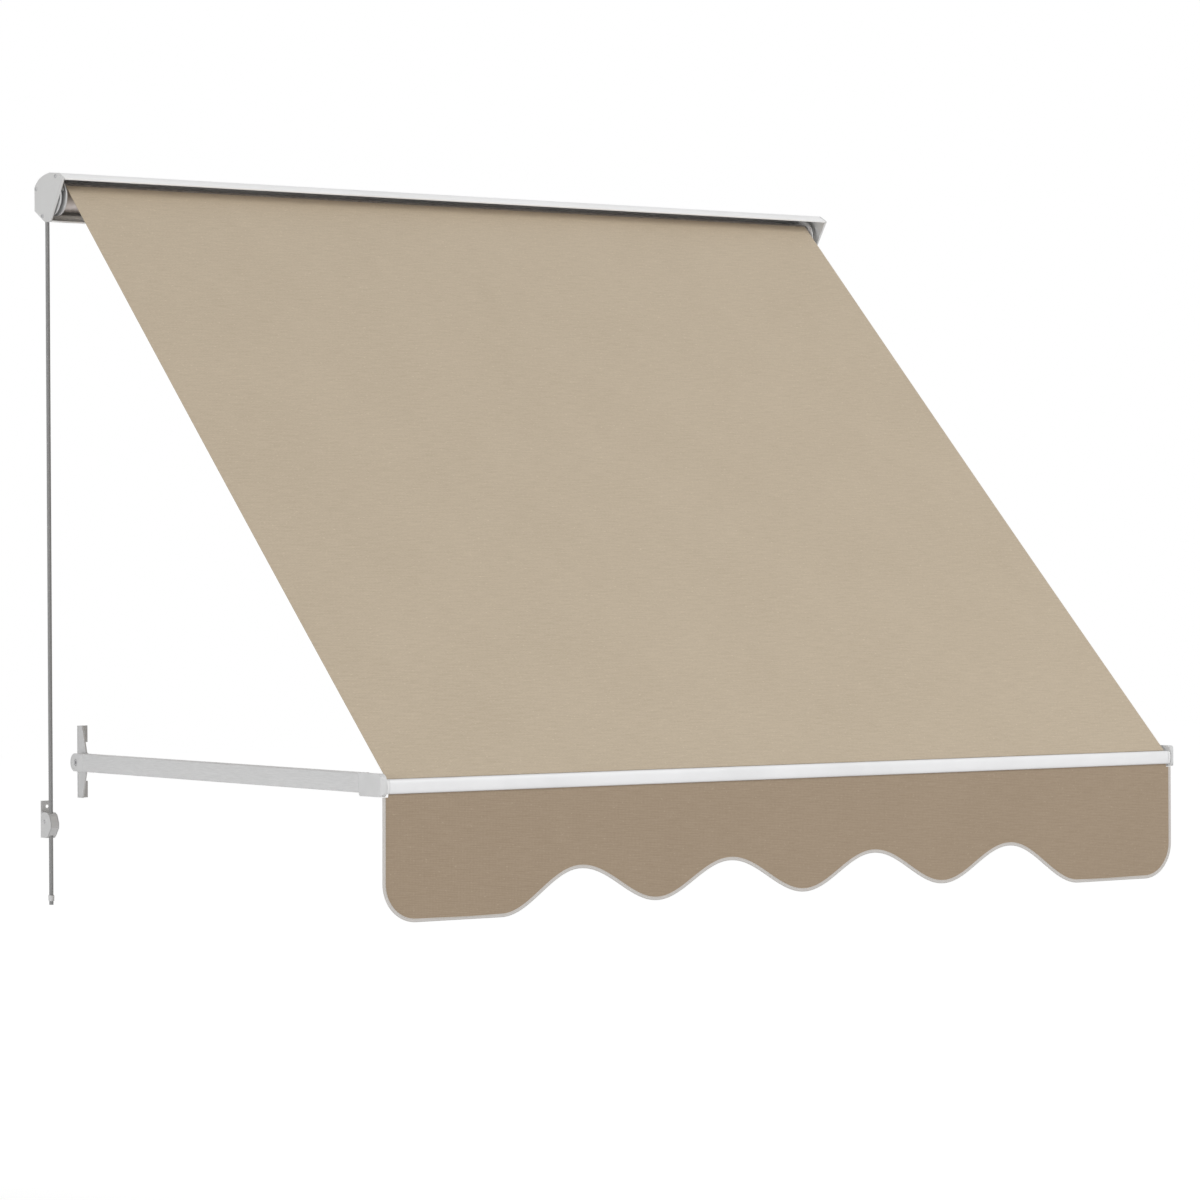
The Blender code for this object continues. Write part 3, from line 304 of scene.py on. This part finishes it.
def mouldedPlastic(name, colour, roughness=0.48):
    # Injection-moulded plastic: a fine spark-eroded grain, drawn 1 mm wide so that it shows, and flow marks
    material, tree, out = startMaterial(name)
    place = addNode(tree, "ShaderNodeTexCoord").outputs["Object"]
    grain = addNode(tree, "ShaderNodeTexNoise", {"Scale": 1 / (1.0 * mm), "Detail": 3.0, "Roughness": 0.7},
                    {"Vector": place})
    flow = addNode(tree, "ShaderNodeTexNoise", {"Scale": 1 / (33.3 * mm), "Detail": 2.0}, {"Vector": place})
    base = hexColour(colour)
    dull = dimmed(base, 0.93)
    tint = addNode(tree, "ShaderNodeMix", {"data_type": "RGBA", 6: dull, 7: base}, {
        0: addNode(tree, "ShaderNodeMapRange", {"From Min": 0.35, "From Max": 0.65},
                   {0: flow.outputs["Fac"]}).outputs[0]})
    rough = addNode(tree, "ShaderNodeMapRange", {"To Min": roughness - 0.06, "To Max": roughness + 0.06},
                    {0: grain.outputs["Fac"]})
    bump = addNode(tree, "ShaderNodeBump", {"Strength": 0.18, "Distance": 0.05 * mm},
                   {"Height": grain.outputs["Fac"]})
    skin = addNode(tree, "ShaderNodeBsdfPrincipled", {"IOR": 1.53}, {
        "Base Color": tint.outputs[2], "Roughness": rough.outputs[0], "Normal": bump.outputs[0]})
    tree.links.new(skin.outputs[0], out.inputs["Surface"])
    return material


def platedSteel(name, colour, spangle, roughness):
    # Zinc on steel: crystals of an even grey, each with its own tilt and gloss
    material, tree, out = startMaterial(name)
    place = addNode(tree, "ShaderNodeTexCoord").outputs["Object"]
    crystal = addNode(tree, "ShaderNodeTexVoronoi", {"Scale": 1 / spangle}, {"Vector": place})
    shade = addNode(tree, "ShaderNodeSeparateColor", None, {0: crystal.outputs["Color"]})
    base = hexColour(colour)
    dull = dimmed(base, 0.8)
    metal = addNode(tree, "ShaderNodeMix", {"data_type": "RGBA", 6: dull, 7: base}, {0: shade.outputs[0]})
    rough = addNode(tree, "ShaderNodeMapRange", {"To Min": roughness - 0.07, "To Max": roughness + 0.1},
                    {0: shade.outputs[1]})
    bump = addNode(tree, "ShaderNodeBump", {"Strength": 0.08, "Distance": 0.05 * mm},
                   {"Height": crystal.outputs["Distance"]})
    skin = addNode(tree, "ShaderNodeBsdfPrincipled", {"Metallic": 0.85}, {
        "Base Color": metal.outputs[2], "Roughness": rough.outputs[0], "Normal": bump.outputs[0]})
    tree.links.new(skin.outputs[0], out.inputs["Surface"])
    return material


def braidedPolyester(name, colour, shade):
    # Braided polyester: the crossing strands are in the mesh, and this gives them matt fibres, which are
    # far finer than they are drawn here, 0.6 mm
    material, tree, out = startMaterial(name)
    place = addNode(tree, "ShaderNodeTexCoord").outputs["Object"]
    fibre = addNode(tree, "ShaderNodeTexNoise", {"Scale": 1 / (0.6 * mm), "Detail": 4.0, "Roughness": 0.75},
                    {"Vector": place})
    tint = addNode(tree, "ShaderNodeMix", {"data_type": "RGBA", 6: hexColour(shade), 7: hexColour(colour)}, {
        0: addNode(tree, "ShaderNodeMapRange", {"From Min": 0.35, "From Max": 0.6},
                   {0: fibre.outputs["Fac"]}).outputs[0]})
    bump = addNode(tree, "ShaderNodeBump", {"Strength": 0.3, "Distance": 0.1 * mm},
                   {"Height": fibre.outputs["Fac"]})
    skin = addNode(tree, "ShaderNodeBsdfPrincipled", {"Roughness": 0.8, "IOR": 1.5, "Sheen Weight": 0.1}, {
        "Base Color": tint.outputs[2], "Normal": bump.outputs[0]})
    tree.links.new(skin.outputs[0], out.inputs["Surface"])
    return material


def bindingTape(name, colour):
    # Woven polyester tape folded over the cloth's edge: fine ribs across it, 1 mm apart
    material, tree, out = startMaterial(name)
    cloth = addNode(tree, "ShaderNodeUVMap", {"uv_map": "clothMetres"}).outputs[0]
    rib = addNode(tree, "ShaderNodeTexWave", {"bands_direction": "X", "Scale": waveScale(1.0 * mm),
                                              "Distortion": 0.5}, {"Vector": cloth})
    base = hexColour(colour)
    dull = dimmed(base, 0.9)
    tint = addNode(tree, "ShaderNodeMix", {"data_type": "RGBA", 6: dull, 7: base}, {0: rib.outputs["Fac"]})
    bump = addNode(tree, "ShaderNodeBump", {"Strength": 0.3, "Distance": 0.1 * mm},
                   {"Height": rib.outputs["Fac"]})
    skin = addNode(tree, "ShaderNodeBsdfPrincipled", {"Roughness": 0.8, "IOR": 1.5, "Sheen Weight": 0.1}, {
        "Base Color": tint.outputs[2], "Normal": bump.outputs[0]})
    tree.links.new(skin.outputs[0], out.inputs["Surface"])
    return material


canopyCanvas = wovenCanvas("acrylicCanvasBeige", "#cabba5", "#b8a993", "#dbceb9")
valanceCanvas = wovenCanvas("acrylicCanvasValance", "#a99782", "#9b8974", "#b9a892")
# The casing's coat is the bar's white made brighter. This is painted light that makes up for the light its hood
# gets too little of from the lamps; the real casing and bar share one coat.
casingCoatPaintedLight = powderCoat("powderCoatWhitePaintedLit", "#fafafa")
barCoat = powderCoat("powderCoatBarWhite", "#eeeeef")
plateCoat = powderCoat("powderCoatPaleGrey", "#d8d8d7", 0.42)
bracketCoat = powderCoat("powderCoatBracketGrey", "#cdcdcd", 0.45)
armAluminium = brushedAluminium("anodisedAluminiumBrushed", "#d7d7d7")
greyAbs = mouldedPlastic("absMouldedGrey", "#d2d2d2")
capAbs = mouldedPlastic("absMouldedCap", "#d6d6d6")
whiteAbs = mouldedPlastic("absMouldedWhite", "#ececec")
tubeSteel = platedSteel("galvanisedTubeSteel", "#c4bcb8", 5 * mm, 0.5)
zincSteel = platedSteel("zincPlatedSteel", "#c2c2c3", 1.5 * mm, 0.4)
cordBraid = braidedPolyester("polyesterBraidGrey", "#9d9d9d", "#848484")
edgeTape = bindingTape("wovenBindingGrey", "#cdc9c5")
weltPlastic = mouldedPlastic("pvcWeltCord", "#d8d6d0", 0.55)
stitchThread = braidedPolyester("polyesterStitchThread", "#cfc8bc", "#b5ad9f")
print("materials are made")


finishes = [
    (casingCoatPaintedLight, ["head_casing"]),
    (barCoat, ["front_bar"]),
    (plateCoat, ["end_plate_left", "end_plate_right"]),
    (bracketCoat, ["wall_bracket_left", "wall_bracket_right", "lock_bracket"]),
    (armAluminium, ["arm_tube_left", "arm_tube_right"]),
    (capAbs, ["arm_wall_cap_left", "arm_wall_cap_right", "arm_front_fitting_left", "arm_front_fitting_right"]),
    (whiteAbs, ["bar_end_plug_left", "bar_end_plug_right"]),
    (greyAbs, ["cord_spool", "roller_plug_right", "roller_bush_left", "roller_bush_right", "lock_housing",
               "cord_tip"]),
    (tubeSteel, ["roller_tube"]),
    (weltPlastic, ["canopy_welt_rear", "canopy_welt_front", "valance_welt"]),
]
edgeSet = {
    "plain": 0.15,    # mm that an edge is rounded by
    "from": 35,       # degrees between the faces
    "steps": 2,
    "weld": 0.01,     # mm within which corners are one
}
softEdges = {  # mm, where the real piece is cut sharper, or pressed or moulded softer
    "end_plate_left": 0.12, "end_plate_right": 0.12, "wall_bracket_left": 0.35, "wall_bracket_right": 0.35,
    "lock_bracket": 0.25, "lock_housing": 0.4, "head_casing": 0.25, "front_bar": 0.12,
    "arm_front_fitting_left": 0.5, "arm_front_fitting_right": 0.5, "arm_wall_cap_left": 0.12,
    "arm_wall_cap_right": 0.12, "arm_tube_left": 0.12, "arm_tube_right": 0.12, "cord_tip": 0.4,
    "bar_end_plug_left": 0.3, "bar_end_plug_right": 0.3,
}


def dressNode(name, material):
    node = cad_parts[name]
    node.data.materials.clear()
    node.data.materials.append(material)
    if "custom_normal" in node.data.attributes:
        node.data.attributes.remove(node.data.attributes["custom_normal"])
    node.data.shade_smooth()
    weld = node.modifiers.new("weldCorners", "WELD")
    weld.merge_threshold = edgeSet["weld"] * mm
    bevel = node.modifiers.new("softEdges", "BEVEL")
    bevel.width = softEdges.get(name, edgeSet["plain"]) * mm
    bevel.segments = edgeSet["steps"]
    bevel.limit_method = "ANGLE"
    bevel.angle_limit = math.radians(edgeSet["from"])
    bevel.harden_normals = True


def dressNodes():
    dressed = set()
    for material, names in finishes:
        for name in names:
            dressNode(name, material)
            dressed.add(name)
    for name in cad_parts:  # the bolts, nuts, washers and pins
        if name not in dressed:
            dressNode(name, zincSteel)


dressNodes()
print("CAD nodes are dressed")


canopySet = {
    "rollerAxis": (35.5, 0.0),      # out from the wall, and height, in mm
    "leaveRadius": 18.35,           # of the cloth's middle where it leaves the tube
    "leaveAngle": 49.0,
    "barMouth": (777.2, -705.9),
    "halfWidth": 592.2,
    "thickness": 0.6,
    "sag": 1.6,
    "ripple": 0.5,                  # mm that the faint folds stand out
    "foldWidth": 90.0,              # mm
    "foldTurns": 1.6,               # along the run
    "foldSeed": 3.1,
    "across": 120,                  # faces of its mesh
    "along": 104,
    "keepWound": 0.1983,            # share of its run that is still out with the arms up
    "foldAxis": (0, -0.70944, -0.70479),  # along the cloth, so that its end meets the bar with the arms up
}


def outPoint(x, out, z):  # millimetres out from the wall to metres in the row frame
    return Vector((x * mm, -out * mm, z * mm))


def setCloth(piece, flatPoints):  # the flat cut's metres, so that the weave stays on the cloth as it moves
    layer = piece.data.uv_layers.new(name="clothMetres")
    for loop in piece.data.loops:
        layer.data[loop.index].uv = flatPoints[loop.vertex_index]


def solidSheet(name, grid, flats, thickness, material):
    # A sheet of real thickness from a grid of middle points, closed round its edges
    rows, columns = len(grid), len(grid[0])
    normals = []
    for i in range(rows):
        for j in range(columns):
            a = grid[min(i + 1, rows - 1)][j] - grid[max(i - 1, 0)][j]
            b = grid[i][min(j + 1, columns - 1)] - grid[i][max(j - 1, 0)]
            normals.append(b.cross(a).normalized())
    flat = [p for row in grid for p in row]
    half = thickness * mm / 2
    points = [p + n * half for p, n in zip(flat, normals)] + [p - n * half for p, n in zip(flat, normals)]
    below = rows * columns
    faces = []
    for i in range(rows - 1):
        for j in range(columns - 1):
            a, b = i * columns + j, i * columns + j + 1
            c, d = (i + 1) * columns + j + 1, (i + 1) * columns + j
            faces += [(a, b, c, d), (below + d, below + c, below + b, below + a)]
    rim = list(range(columns)) + [i * columns + columns - 1 for i in range(1, rows)]
    rim += [(rows - 1) * columns + j for j in range(columns - 2, -1, -1)]
    rim += [i * columns for i in range(rows - 2, 0, -1)]
    for a, b in zip(rim, rim[1:] + rim[:1]):
        faces.append((b, a, below + a, below + b))
    piece = makeMesh(name, points, faces, material)
    uv = [f for row in flats for f in row]
    setCloth(piece, uv + uv)
    tidyNormals(piece, 60)
    return piece


def makeCanopy(c, hems):
    angle = math.radians(c["leaveAngle"])
    start = Vector((c["rollerAxis"][0] + c["leaveRadius"] * math.cos(angle),
                    c["rollerAxis"][1] + c["leaveRadius"] * math.sin(angle)))
    end = Vector(c["barMouth"])
    run = end - start
    lift = Vector((-run.y, run.x)).normalized()
    grid, flats = [], []
    for i in range(c["along"] + 1):
        t = i / c["along"]
        row, flatRow = [], []
        for j in range(c["across"] + 1):
            x = c["halfWidth"] * (2 * j / c["across"] - 1)
            # Taut cloth: a shallow sag, and faint folds that run down from the roller
            down = c["sag"] * 4 * t * (1 - t)
            fold = noise.noise(Vector((x / c["foldWidth"], t * c["foldTurns"], c["foldSeed"])))
            fold *= c["ripple"] * math.sin(math.pi * t) ** 0.5
            place = start + run * t + lift * (fold - down)
            row.append(outPoint(x, place.x, place.y))
            flatRow.append((x * mm, -t * run.length * mm))
        grid.append(row)
        flats.append(flatRow)
    canopy = solidSheet("canopyCloth", grid, flats, c["thickness"], canopyCanvas)
    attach(canopy, "canopy")
    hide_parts("canopy")
    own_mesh(canopy)


hemSet = {
    "radius": 2.0,
    "thickness": 0.6,
    "loop": (330, 20),      # degrees from the way out, where the loop starts and ends
    "neck": 0.6,            # mm from the loop to where both layers run together
    "loopSteps": 24,
    "columns": 8,
    "rear": {"centre": (44.82, 10.72), "way": 49.0, "body": "roller", "half": 592.2, "reach": 1.6},
    "front": {"centre": (777.2, -711.5), "way": 90.0, "body": "front_bar", "half": 591.5, "reach": 2.8},
}


def makeHem(name, h):
    # The cloth's looped end, caught in its groove by the welt cord
    one = hemSet["radius"]
    way = math.radians(h["way"])
    centre = Vector(h["centre"])
    path = []
    first, last = hemSet["loop"]
    for i in range(hemSet["loopSteps"] + 1):
        a = way + math.radians(first + (last - first) * i / hemSet["loopSteps"])
        path.append(centre + Vector((math.cos(a), math.sin(a))) * one)
    toward = Vector((math.cos(way), math.sin(way)))
    path.append(centre + toward * (one + hemSet["neck"]))
    path.append(centre + toward * (one + h["reach"]))
    grid, flats = [], []
    length = 0
    for i, p in enumerate(path):
        if i:
            length += (p - path[i - 1]).length
        xs = [h["half"] * (2 * j / hemSet["columns"] - 1) for j in range(hemSet["columns"] + 1)]
        grid.append([outPoint(x, p.x, p.y) for x in xs])
        flats.append([(x * mm, length * mm) for x in xs])
    hem = solidSheet(name, grid, flats, hemSet["thickness"], canopyCanvas)
    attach(hem, h["body"])
    return hem


makeCanopy(canopySet, [makeHem("canopyHemRear", hemSet["rear"]), makeHem("canopyHemFront", hemSet["front"])])
print("canopy and its hems are made")


valanceSet = {
    "barLow": -723.0,
    "out": 781.2,
    "top": -3.5,            # beyond the bar's ends, below the fittings
    "slotTop": 3.0,         # inside the bar's slot
    "slotHalf": 591.6,
    "halfWidth": 600.0,
    "pitch": 218.5,
    "crest": 94.0,
    "trough": 136.0,
    "end": 145.0,
    "flatFrom": 440.0,
    "corner": 45.0,
    "thickness": 0.6,
    "tapeWidth": 4.2,
    "tapeThickness": 2.0,
    "seamIn": 1.0,          # from the tape's inner edge
    "stitch": 3.0,
    "stitchGap": 0.8,
    "threadRadius": 0.22,
    "billow": 1.0,          # mm, how far it swings out of flat at its lower edge
    "waves": ((71.0, 0.6, 1.0), (37.0, 2.0, 0.6)),  # mm for a radian, start and share of its soft folds
    "columns": 300,         # of its mesh
    "rows": 24,
    "cornerSteps": 16,
    "edgeSteps": 200,
    "sideSteps": 12,
    "tapeSides": 16,
    "threadSides": 6,
    "threadSunk": 0.12,     # mm into the tape, and how far its middle stands up and its ends go in
    "threadRise": 0.1,
}


def valanceDrop(x):
    v = valanceSet
    lastCrest = 1.5 * v["pitch"]
    x = abs(x)
    if x <= lastCrest:
        wave = math.cos(2 * math.pi * x / v["pitch"])
        return (v["trough"] + v["crest"]) / 2 + (v["trough"] - v["crest"]) / 2 * wave
    if x < v["flatFrom"]:
        share = (x - lastCrest) / (v["flatFrom"] - lastCrest)
        return (v["crest"] + v["end"]) / 2 - (v["end"] - v["crest"]) / 2 * math.cos(math.pi * share)
    return v["end"]


def valanceRim(inset):
    # The side and lower edge from left to right, moved inwards
    v = valanceSet
    side = v["halfWidth"] - inset
    radius = v["corner"] - inset
    low = -v["end"] + inset
    corner = [(side - radius + radius * math.cos(a), low + radius + radius * math.sin(a))
              for a in [-math.pi / 2 * i / v["cornerSteps"] for i in range(v["cornerSteps"] + 1)]]
    rim = [(-x, z) for x, z in corner]
    steps = v["edgeSteps"]
    for i in range(steps + 1):
        x = (2 * i / steps - 1) * v["flatFrom"]
        slope = (valanceDrop(x + 0.1) - valanceDrop(x - 0.1)) / 0.2
        tilt = 1 / math.hypot(1, slope)
        rim.append((x + inset * slope * tilt, -valanceDrop(x) + inset * tilt))
    return rim + corner[::-1]


def valanceSwing(x, z):  # mm out of flat: nothing at the bar, soft folds at the lower edge
    share = min(max(-z / valanceSet["end"], 0), 1)
    folds = sum(part * math.sin(x / size + start) for size, start, part in valanceSet["waves"])
    return folds * valanceSet["billow"] * share ** 1.4


def makeValance(v):
    cover = v["tapeWidth"] / 2
    rim = valanceRim(cover)
    columns, rows = v["columns"], v["rows"]
    half = v["halfWidth"] - cover
    grid, flats = [[] for _ in range(rows + 1)], [[] for _ in range(rows + 1)]
    for j in range(columns + 1):
        x = half * math.sin(math.pi / 2 * (2 * j / columns - 1))
        low = rim[0][1]  # the lower edge under this column, read off the rim
        for (xa, za), (xb, zb) in zip(rim, rim[1:]):
            if xa <= x <= xb and xb > xa:
                low = za + (zb - za) * (x - xa) / (xb - xa)
        high = v["slotTop"] if abs(x) < v["slotHalf"] else v["top"]
        for i in range(rows + 1):
            z = high + (low - high) * i / rows
            grid[i].append(outPoint(x, v["out"] + valanceSwing(x, z), v["barLow"] + z))
            flats[i].append((x * mm, z * mm))
    valance = solidSheet("valanceCloth", grid, flats, v["thickness"], valanceCanvas)
    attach(valance, "front_bar")
    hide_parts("valance")
    makeBinding(v, rim)
    makeStitches(v)


def makeBinding(v, rim):
    # The tape folded over the cloth's edge, from the bar down one side, along the scallops and up again
    half, top = v["halfWidth"] - v["tapeWidth"] / 2, v["top"]
    steps, sides = v["sideSteps"], v["tapeSides"]
    line = [(-half, top + (rim[0][1] - top) * i / steps) for i in range(steps)] + rim
    line += [(half, top + (rim[-1][1] - top) * i / steps) for i in range(steps - 1, -1, -1)]
    verts, flats, section = [], [], []
    length = 0
    for i in range(sides):  # flat sides and a rounded back
        a = 2 * math.pi * i / sides
        s, c = math.sin(a), math.cos(a)
        section.append((v["tapeWidth"] / 2 * mm * math.copysign(abs(c) ** 0.8, c),
                        v["tapeThickness"] / 2 * mm * math.copysign(abs(s) ** 0.8, s)))
    points = [outPoint(x, v["out"] + valanceSwing(x, z), v["barLow"] + z) for x, z in line]
    up = Vector((0, -1, 0))
    for i, p in enumerate(points):
        ahead = (points[min(i + 1, len(points) - 1)] - points[max(i - 1, 0)]).normalized()
        aside = ahead.cross(up).normalized()
        verts += [p + aside * a + up * b for a, b in section]
        if i:
            length += (p - points[i - 1]).length
        flats += [(length, k / sides * 10 * mm) for k in range(sides)]  # the tape is cut 10 mm wide
    faces = [face for i in range(len(line) - 1) for face in joinRings(i * sides, (i + 1) * sides, sides)]
    faces += [ringCap(0, sides)[::-1], ringCap((len(line) - 1) * sides, sides)]
    tape = makeMesh("valanceBinding", verts, faces, edgeTape)
    tidyNormals(tape, 50)
    setCloth(tape, flats)
    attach(tape, "front_bar")
    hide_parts("valance_piping")
    return tape


def makeStitches(v):
    # One row of lockstitch on each face of the binding, near its inner edge
    line = valanceRim(v["tapeWidth"] - v["seamIn"])
    side = v["halfWidth"] - v["tapeWidth"] + v["seamIn"]
    line = [(-side, v["top"] - 1)] + line + [(side, v["top"] - 1)]
    walk, step, room = [], v["stitch"] + v["stitchGap"], 0
    for (xa, za), (xb, zb) in zip(line, line[1:]):
        part = math.hypot(xb - xa, zb - za)
        while part > 0 and room <= part:
            t = room / part
            walk.append((xa + (xb - xa) * t, za + (zb - za) * t, (xb - xa) / part, (zb - za) / part))
            room += step
        room -= part
    verts, faces = [], []
    sides = v["threadSides"]
    for face in (-1, 1):
        for x, z, dx, dz in walk:
            start = len(verts)
            for share, r in ((-0.5, 0.25), (-0.3, 1), (0.3, 1), (0.5, 0.25)):
                px, pz = x + dx * v["stitch"] * share, z + dz * v["stitch"] * share
                lift = v["tapeThickness"] / 2 - v["threadSunk"]
                lift += v["threadRise"] if r == 1 else -v["threadRise"]
                for k in range(sides):
                    a = 2 * math.pi * k / sides
                    aside, up = v["threadRadius"] * r * math.cos(a), v["threadRadius"] * r * math.sin(a)
                    verts.append(outPoint(px - dz * aside, v["out"] + valanceSwing(px, pz) + face * (lift + up),
                                          v["barLow"] + pz + dx * aside))
            end = start + 3 * sides
            for ring in range(start, end, sides):
                faces += joinRings(ring, ring + sides, sides)
            faces += [ringCap(start, sides), ringCap(end, sides)]
    stitches = makeMesh("valanceStitches", verts, faces, stitchThread)
    tidyNormals(stitches)
    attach(stitches, "front_bar")
    return stitches


makeValance(valanceSet)
print("valance is made")


cordSet = {
    "x": -601.1,
    "out": 15.5,
    "turnRadius": 20.0,
    "rollerOut": 35.5,
    "wrap": 160.0,
    "end": -889.6,
    "radius": 2.75,
    "plait": 5.0,        # mm along the cord for one lean of a strand
    "strands": 4,        # that lean each way round it
    "relief": 0.16,      # mm that a strand stands out
    "step": 1.4,         # mm between the rings of its mesh
    "turnSteps": 40,
    "sides": 20,
    "bite": (-786.5, 6.0, 0.3),  # where the lock's cam has pressed its back flat: height, half length, depth
}


def cordRoute(c):
    # The same line as the solid: over the spool, then straight down
    wrap = math.radians(c["wrap"])
    points = []
    for i in range(c["turnSteps"] + 1):
        a = math.pi - wrap + wrap * i / c["turnSteps"]
        points.append(outPoint(c["x"], c["rollerOut"] + c["turnRadius"] * math.cos(a),
                               c["turnRadius"] * math.sin(a)))
    steps = int(-c["end"] / c["step"])
    points += [outPoint(c["x"], c["out"], c["end"] * i / steps) for i in range(1, steps + 1)]
    return points


def makeCord(c):
    points = cordRoute(c)
    biteAt, biteHalf, biteDepth = c["bite"]
    sides = c["sides"]
    aside = Vector((1, 0, 0))
    verts = []
    length = 0
    for i, p in enumerate(points):
        ahead = (points[min(i + 1, len(points) - 1)] - points[max(i - 1, 0)]).normalized()
        up = ahead.cross(aside).normalized()
        if i:
            length += (p - points[i - 1]).length / mm
        share = min(abs(p.z / mm - biteAt) / biteHalf, 1)
        pressed = biteDepth * (0.5 + 0.5 * math.cos(math.pi * share))
        for k in range(sides):
            a = 2 * math.pi * k / sides
            lean = 2 * math.pi * length / c["plait"]
            strand = math.cos(c["strands"] * a + lean) * math.cos(c["strands"] * a - lean)
            r = (c["radius"] - c["relief"] * (0.5 - 0.5 * strand)) * mm
            away = aside * (r * math.cos(a)) + up * (r * math.sin(a))
            away.y = min(away.y, (c["radius"] - pressed) * mm)
            verts.append(p + away)
    faces = [face for i in range(len(points) - 1) for face in joinRings(i * sides, (i + 1) * sides, sides)]
    faces += [ringCap(0, sides)[::-1], ringCap((len(points) - 1) * sides, sides)]
    cord = makeMesh("pullCord", verts, faces, cordBraid)
    tidyNormals(cord)
    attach(cord, "head")
    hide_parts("cord")
    return length


cordLength = makeCord(cordSet)
print(f"pull cord is {cordLength:.1f} mm long")


woundSet = {
    "middleRadius": 14.62,   # of the layer that is still on the drum
    "wide": 2.72,            # half its width and half its height: it lies pressed into the drum
    "high": 2.3,
    "steps": 150,            # of its mesh
    "sides": 18,
}


def makeWoundCord(w):
    steps, sides, strands = w["steps"], w["sides"], cordSet["strands"]
    leans = round(2 * math.pi * w["middleRadius"] / cordSet["plait"])  # in one turn, so that its ends meet
    verts = []
    for i in range(steps):
        a = 2 * math.pi * i / steps
        out = Vector((0, -math.cos(a), math.sin(a)))
        middle = outPoint(cordSet["x"], cordSet["rollerOut"], 0) + out * (w["middleRadius"] * mm)
        for k in range(sides):
            b = 2 * math.pi * k / sides
            lean = 2 * math.pi * leans * i / steps
            strand = math.cos(strands * b + lean) * math.cos(strands * b - lean)
            shrink = cordSet["relief"] * (0.5 - 0.5 * strand)
            verts.append(middle + Vector((1, 0, 0)) * ((w["wide"] - shrink) * math.cos(b) * mm)
                         + out * ((w["high"] - shrink) * math.sin(b) * mm))
    faces = [face for i in range(steps) for face in joinRings(i * sides, (i + 1) % steps * sides, sides)]
    wound = makeMesh("cordWound", verts, faces, cordBraid)
    tidyNormals(wound)
    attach(wound, "roller")
    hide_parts("cord_windings")


makeWoundCord(woundSet)
print("wound cord is made")


screwSet = {
    "places": [(55.0, 24.7), (4.4, 12.1), (21.1, -22.8)],   # out from the wall, and height
    "plateFace": 611.0,
    "headRadius": 2.6,
    "headHeight": 1.1,
    "shankRadius": 1.2,
    "shankLength": 14.0,
    "slotHalf": 0.34,
    "slotReach": 1.45,
    "slotDepth": 0.75,
    "rimDrop": 0.55,        # share of its height that the head falls to its rim, and how late it falls
    "domePower": 3.2,
    "lift": 0.02,           # mm between head and plate
    "rings": 16,            # of its mesh
    "sides": 64,
    "turn": (0.4, 1.3, 0.5),  # radians: the first screw, each next one, and the right side's more
}


def makeScrew(side, number, out, z, w):
    # Pan head with a cross recess, on a plain shank that the casing's channel hides
    rings, sides = w["rings"], w["sides"]
    base = side * w["plateFace"]
    first, each, right = w["turn"]
    turn = first + number * each + (right if side > 0 else 0)
    points = [(base + side * w["headHeight"], 0, 0)]
    for i in range(1, rings + 1):
        r = w["headRadius"] * i / rings
        dome = w["headHeight"] * (1 - w["rimDrop"] * (i / rings) ** w["domePower"])
        for k in range(sides):
            a = 2 * math.pi * k / sides
            points.append((base + side * dome, r * math.cos(a), r * math.sin(a)))
    verts = []
    for x, y, h in points:
        u = y * math.cos(turn) + h * math.sin(turn)
        v = -y * math.sin(turn) + h * math.cos(turn)
        inCross = min(abs(u), abs(v)) < w["slotHalf"] and max(abs(u), abs(v)) < w["slotReach"]
        verts.append(outPoint(x - (side * w["slotDepth"] if inCross else 0), out + y, z + h))
    faces = [(0, 1 + k, 1 + (k + 1) % sides) for k in range(sides)]
    for i in range(rings - 1):
        faces += joinRings(1 + i * sides, 1 + (i + 1) * sides, sides)
    start = 1 + (rings - 1) * sides
    under = base + side * w["lift"]
    for radius, x in ((w["headRadius"], under), (w["shankRadius"], under),
                      (w["shankRadius"], under - side * w["shankLength"])):
        ring = len(verts)
        for k in range(sides):
            a = 2 * math.pi * k / sides
            verts.append(outPoint(x, out + radius * math.cos(a), z + radius * math.sin(a)))
        faces += joinRings(start, ring, sides)
        start = ring
    faces.append(ringCap(start, sides))
    way = "Left" if side < 0 else "Right"
    screw = makeMesh(f"plateScrew{way}{number}", verts, faces, zincSteel)
    tidyNormals(screw, 40)
    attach(screw, "head")
    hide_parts(f"plate_screw_{way.lower()}_{number}")


for side in (-1, 1):
    for number, (out, z) in enumerate(screwSet["places"], 1):
        makeScrew(side, number, out, z, screwSet)
print("plate screws are made")
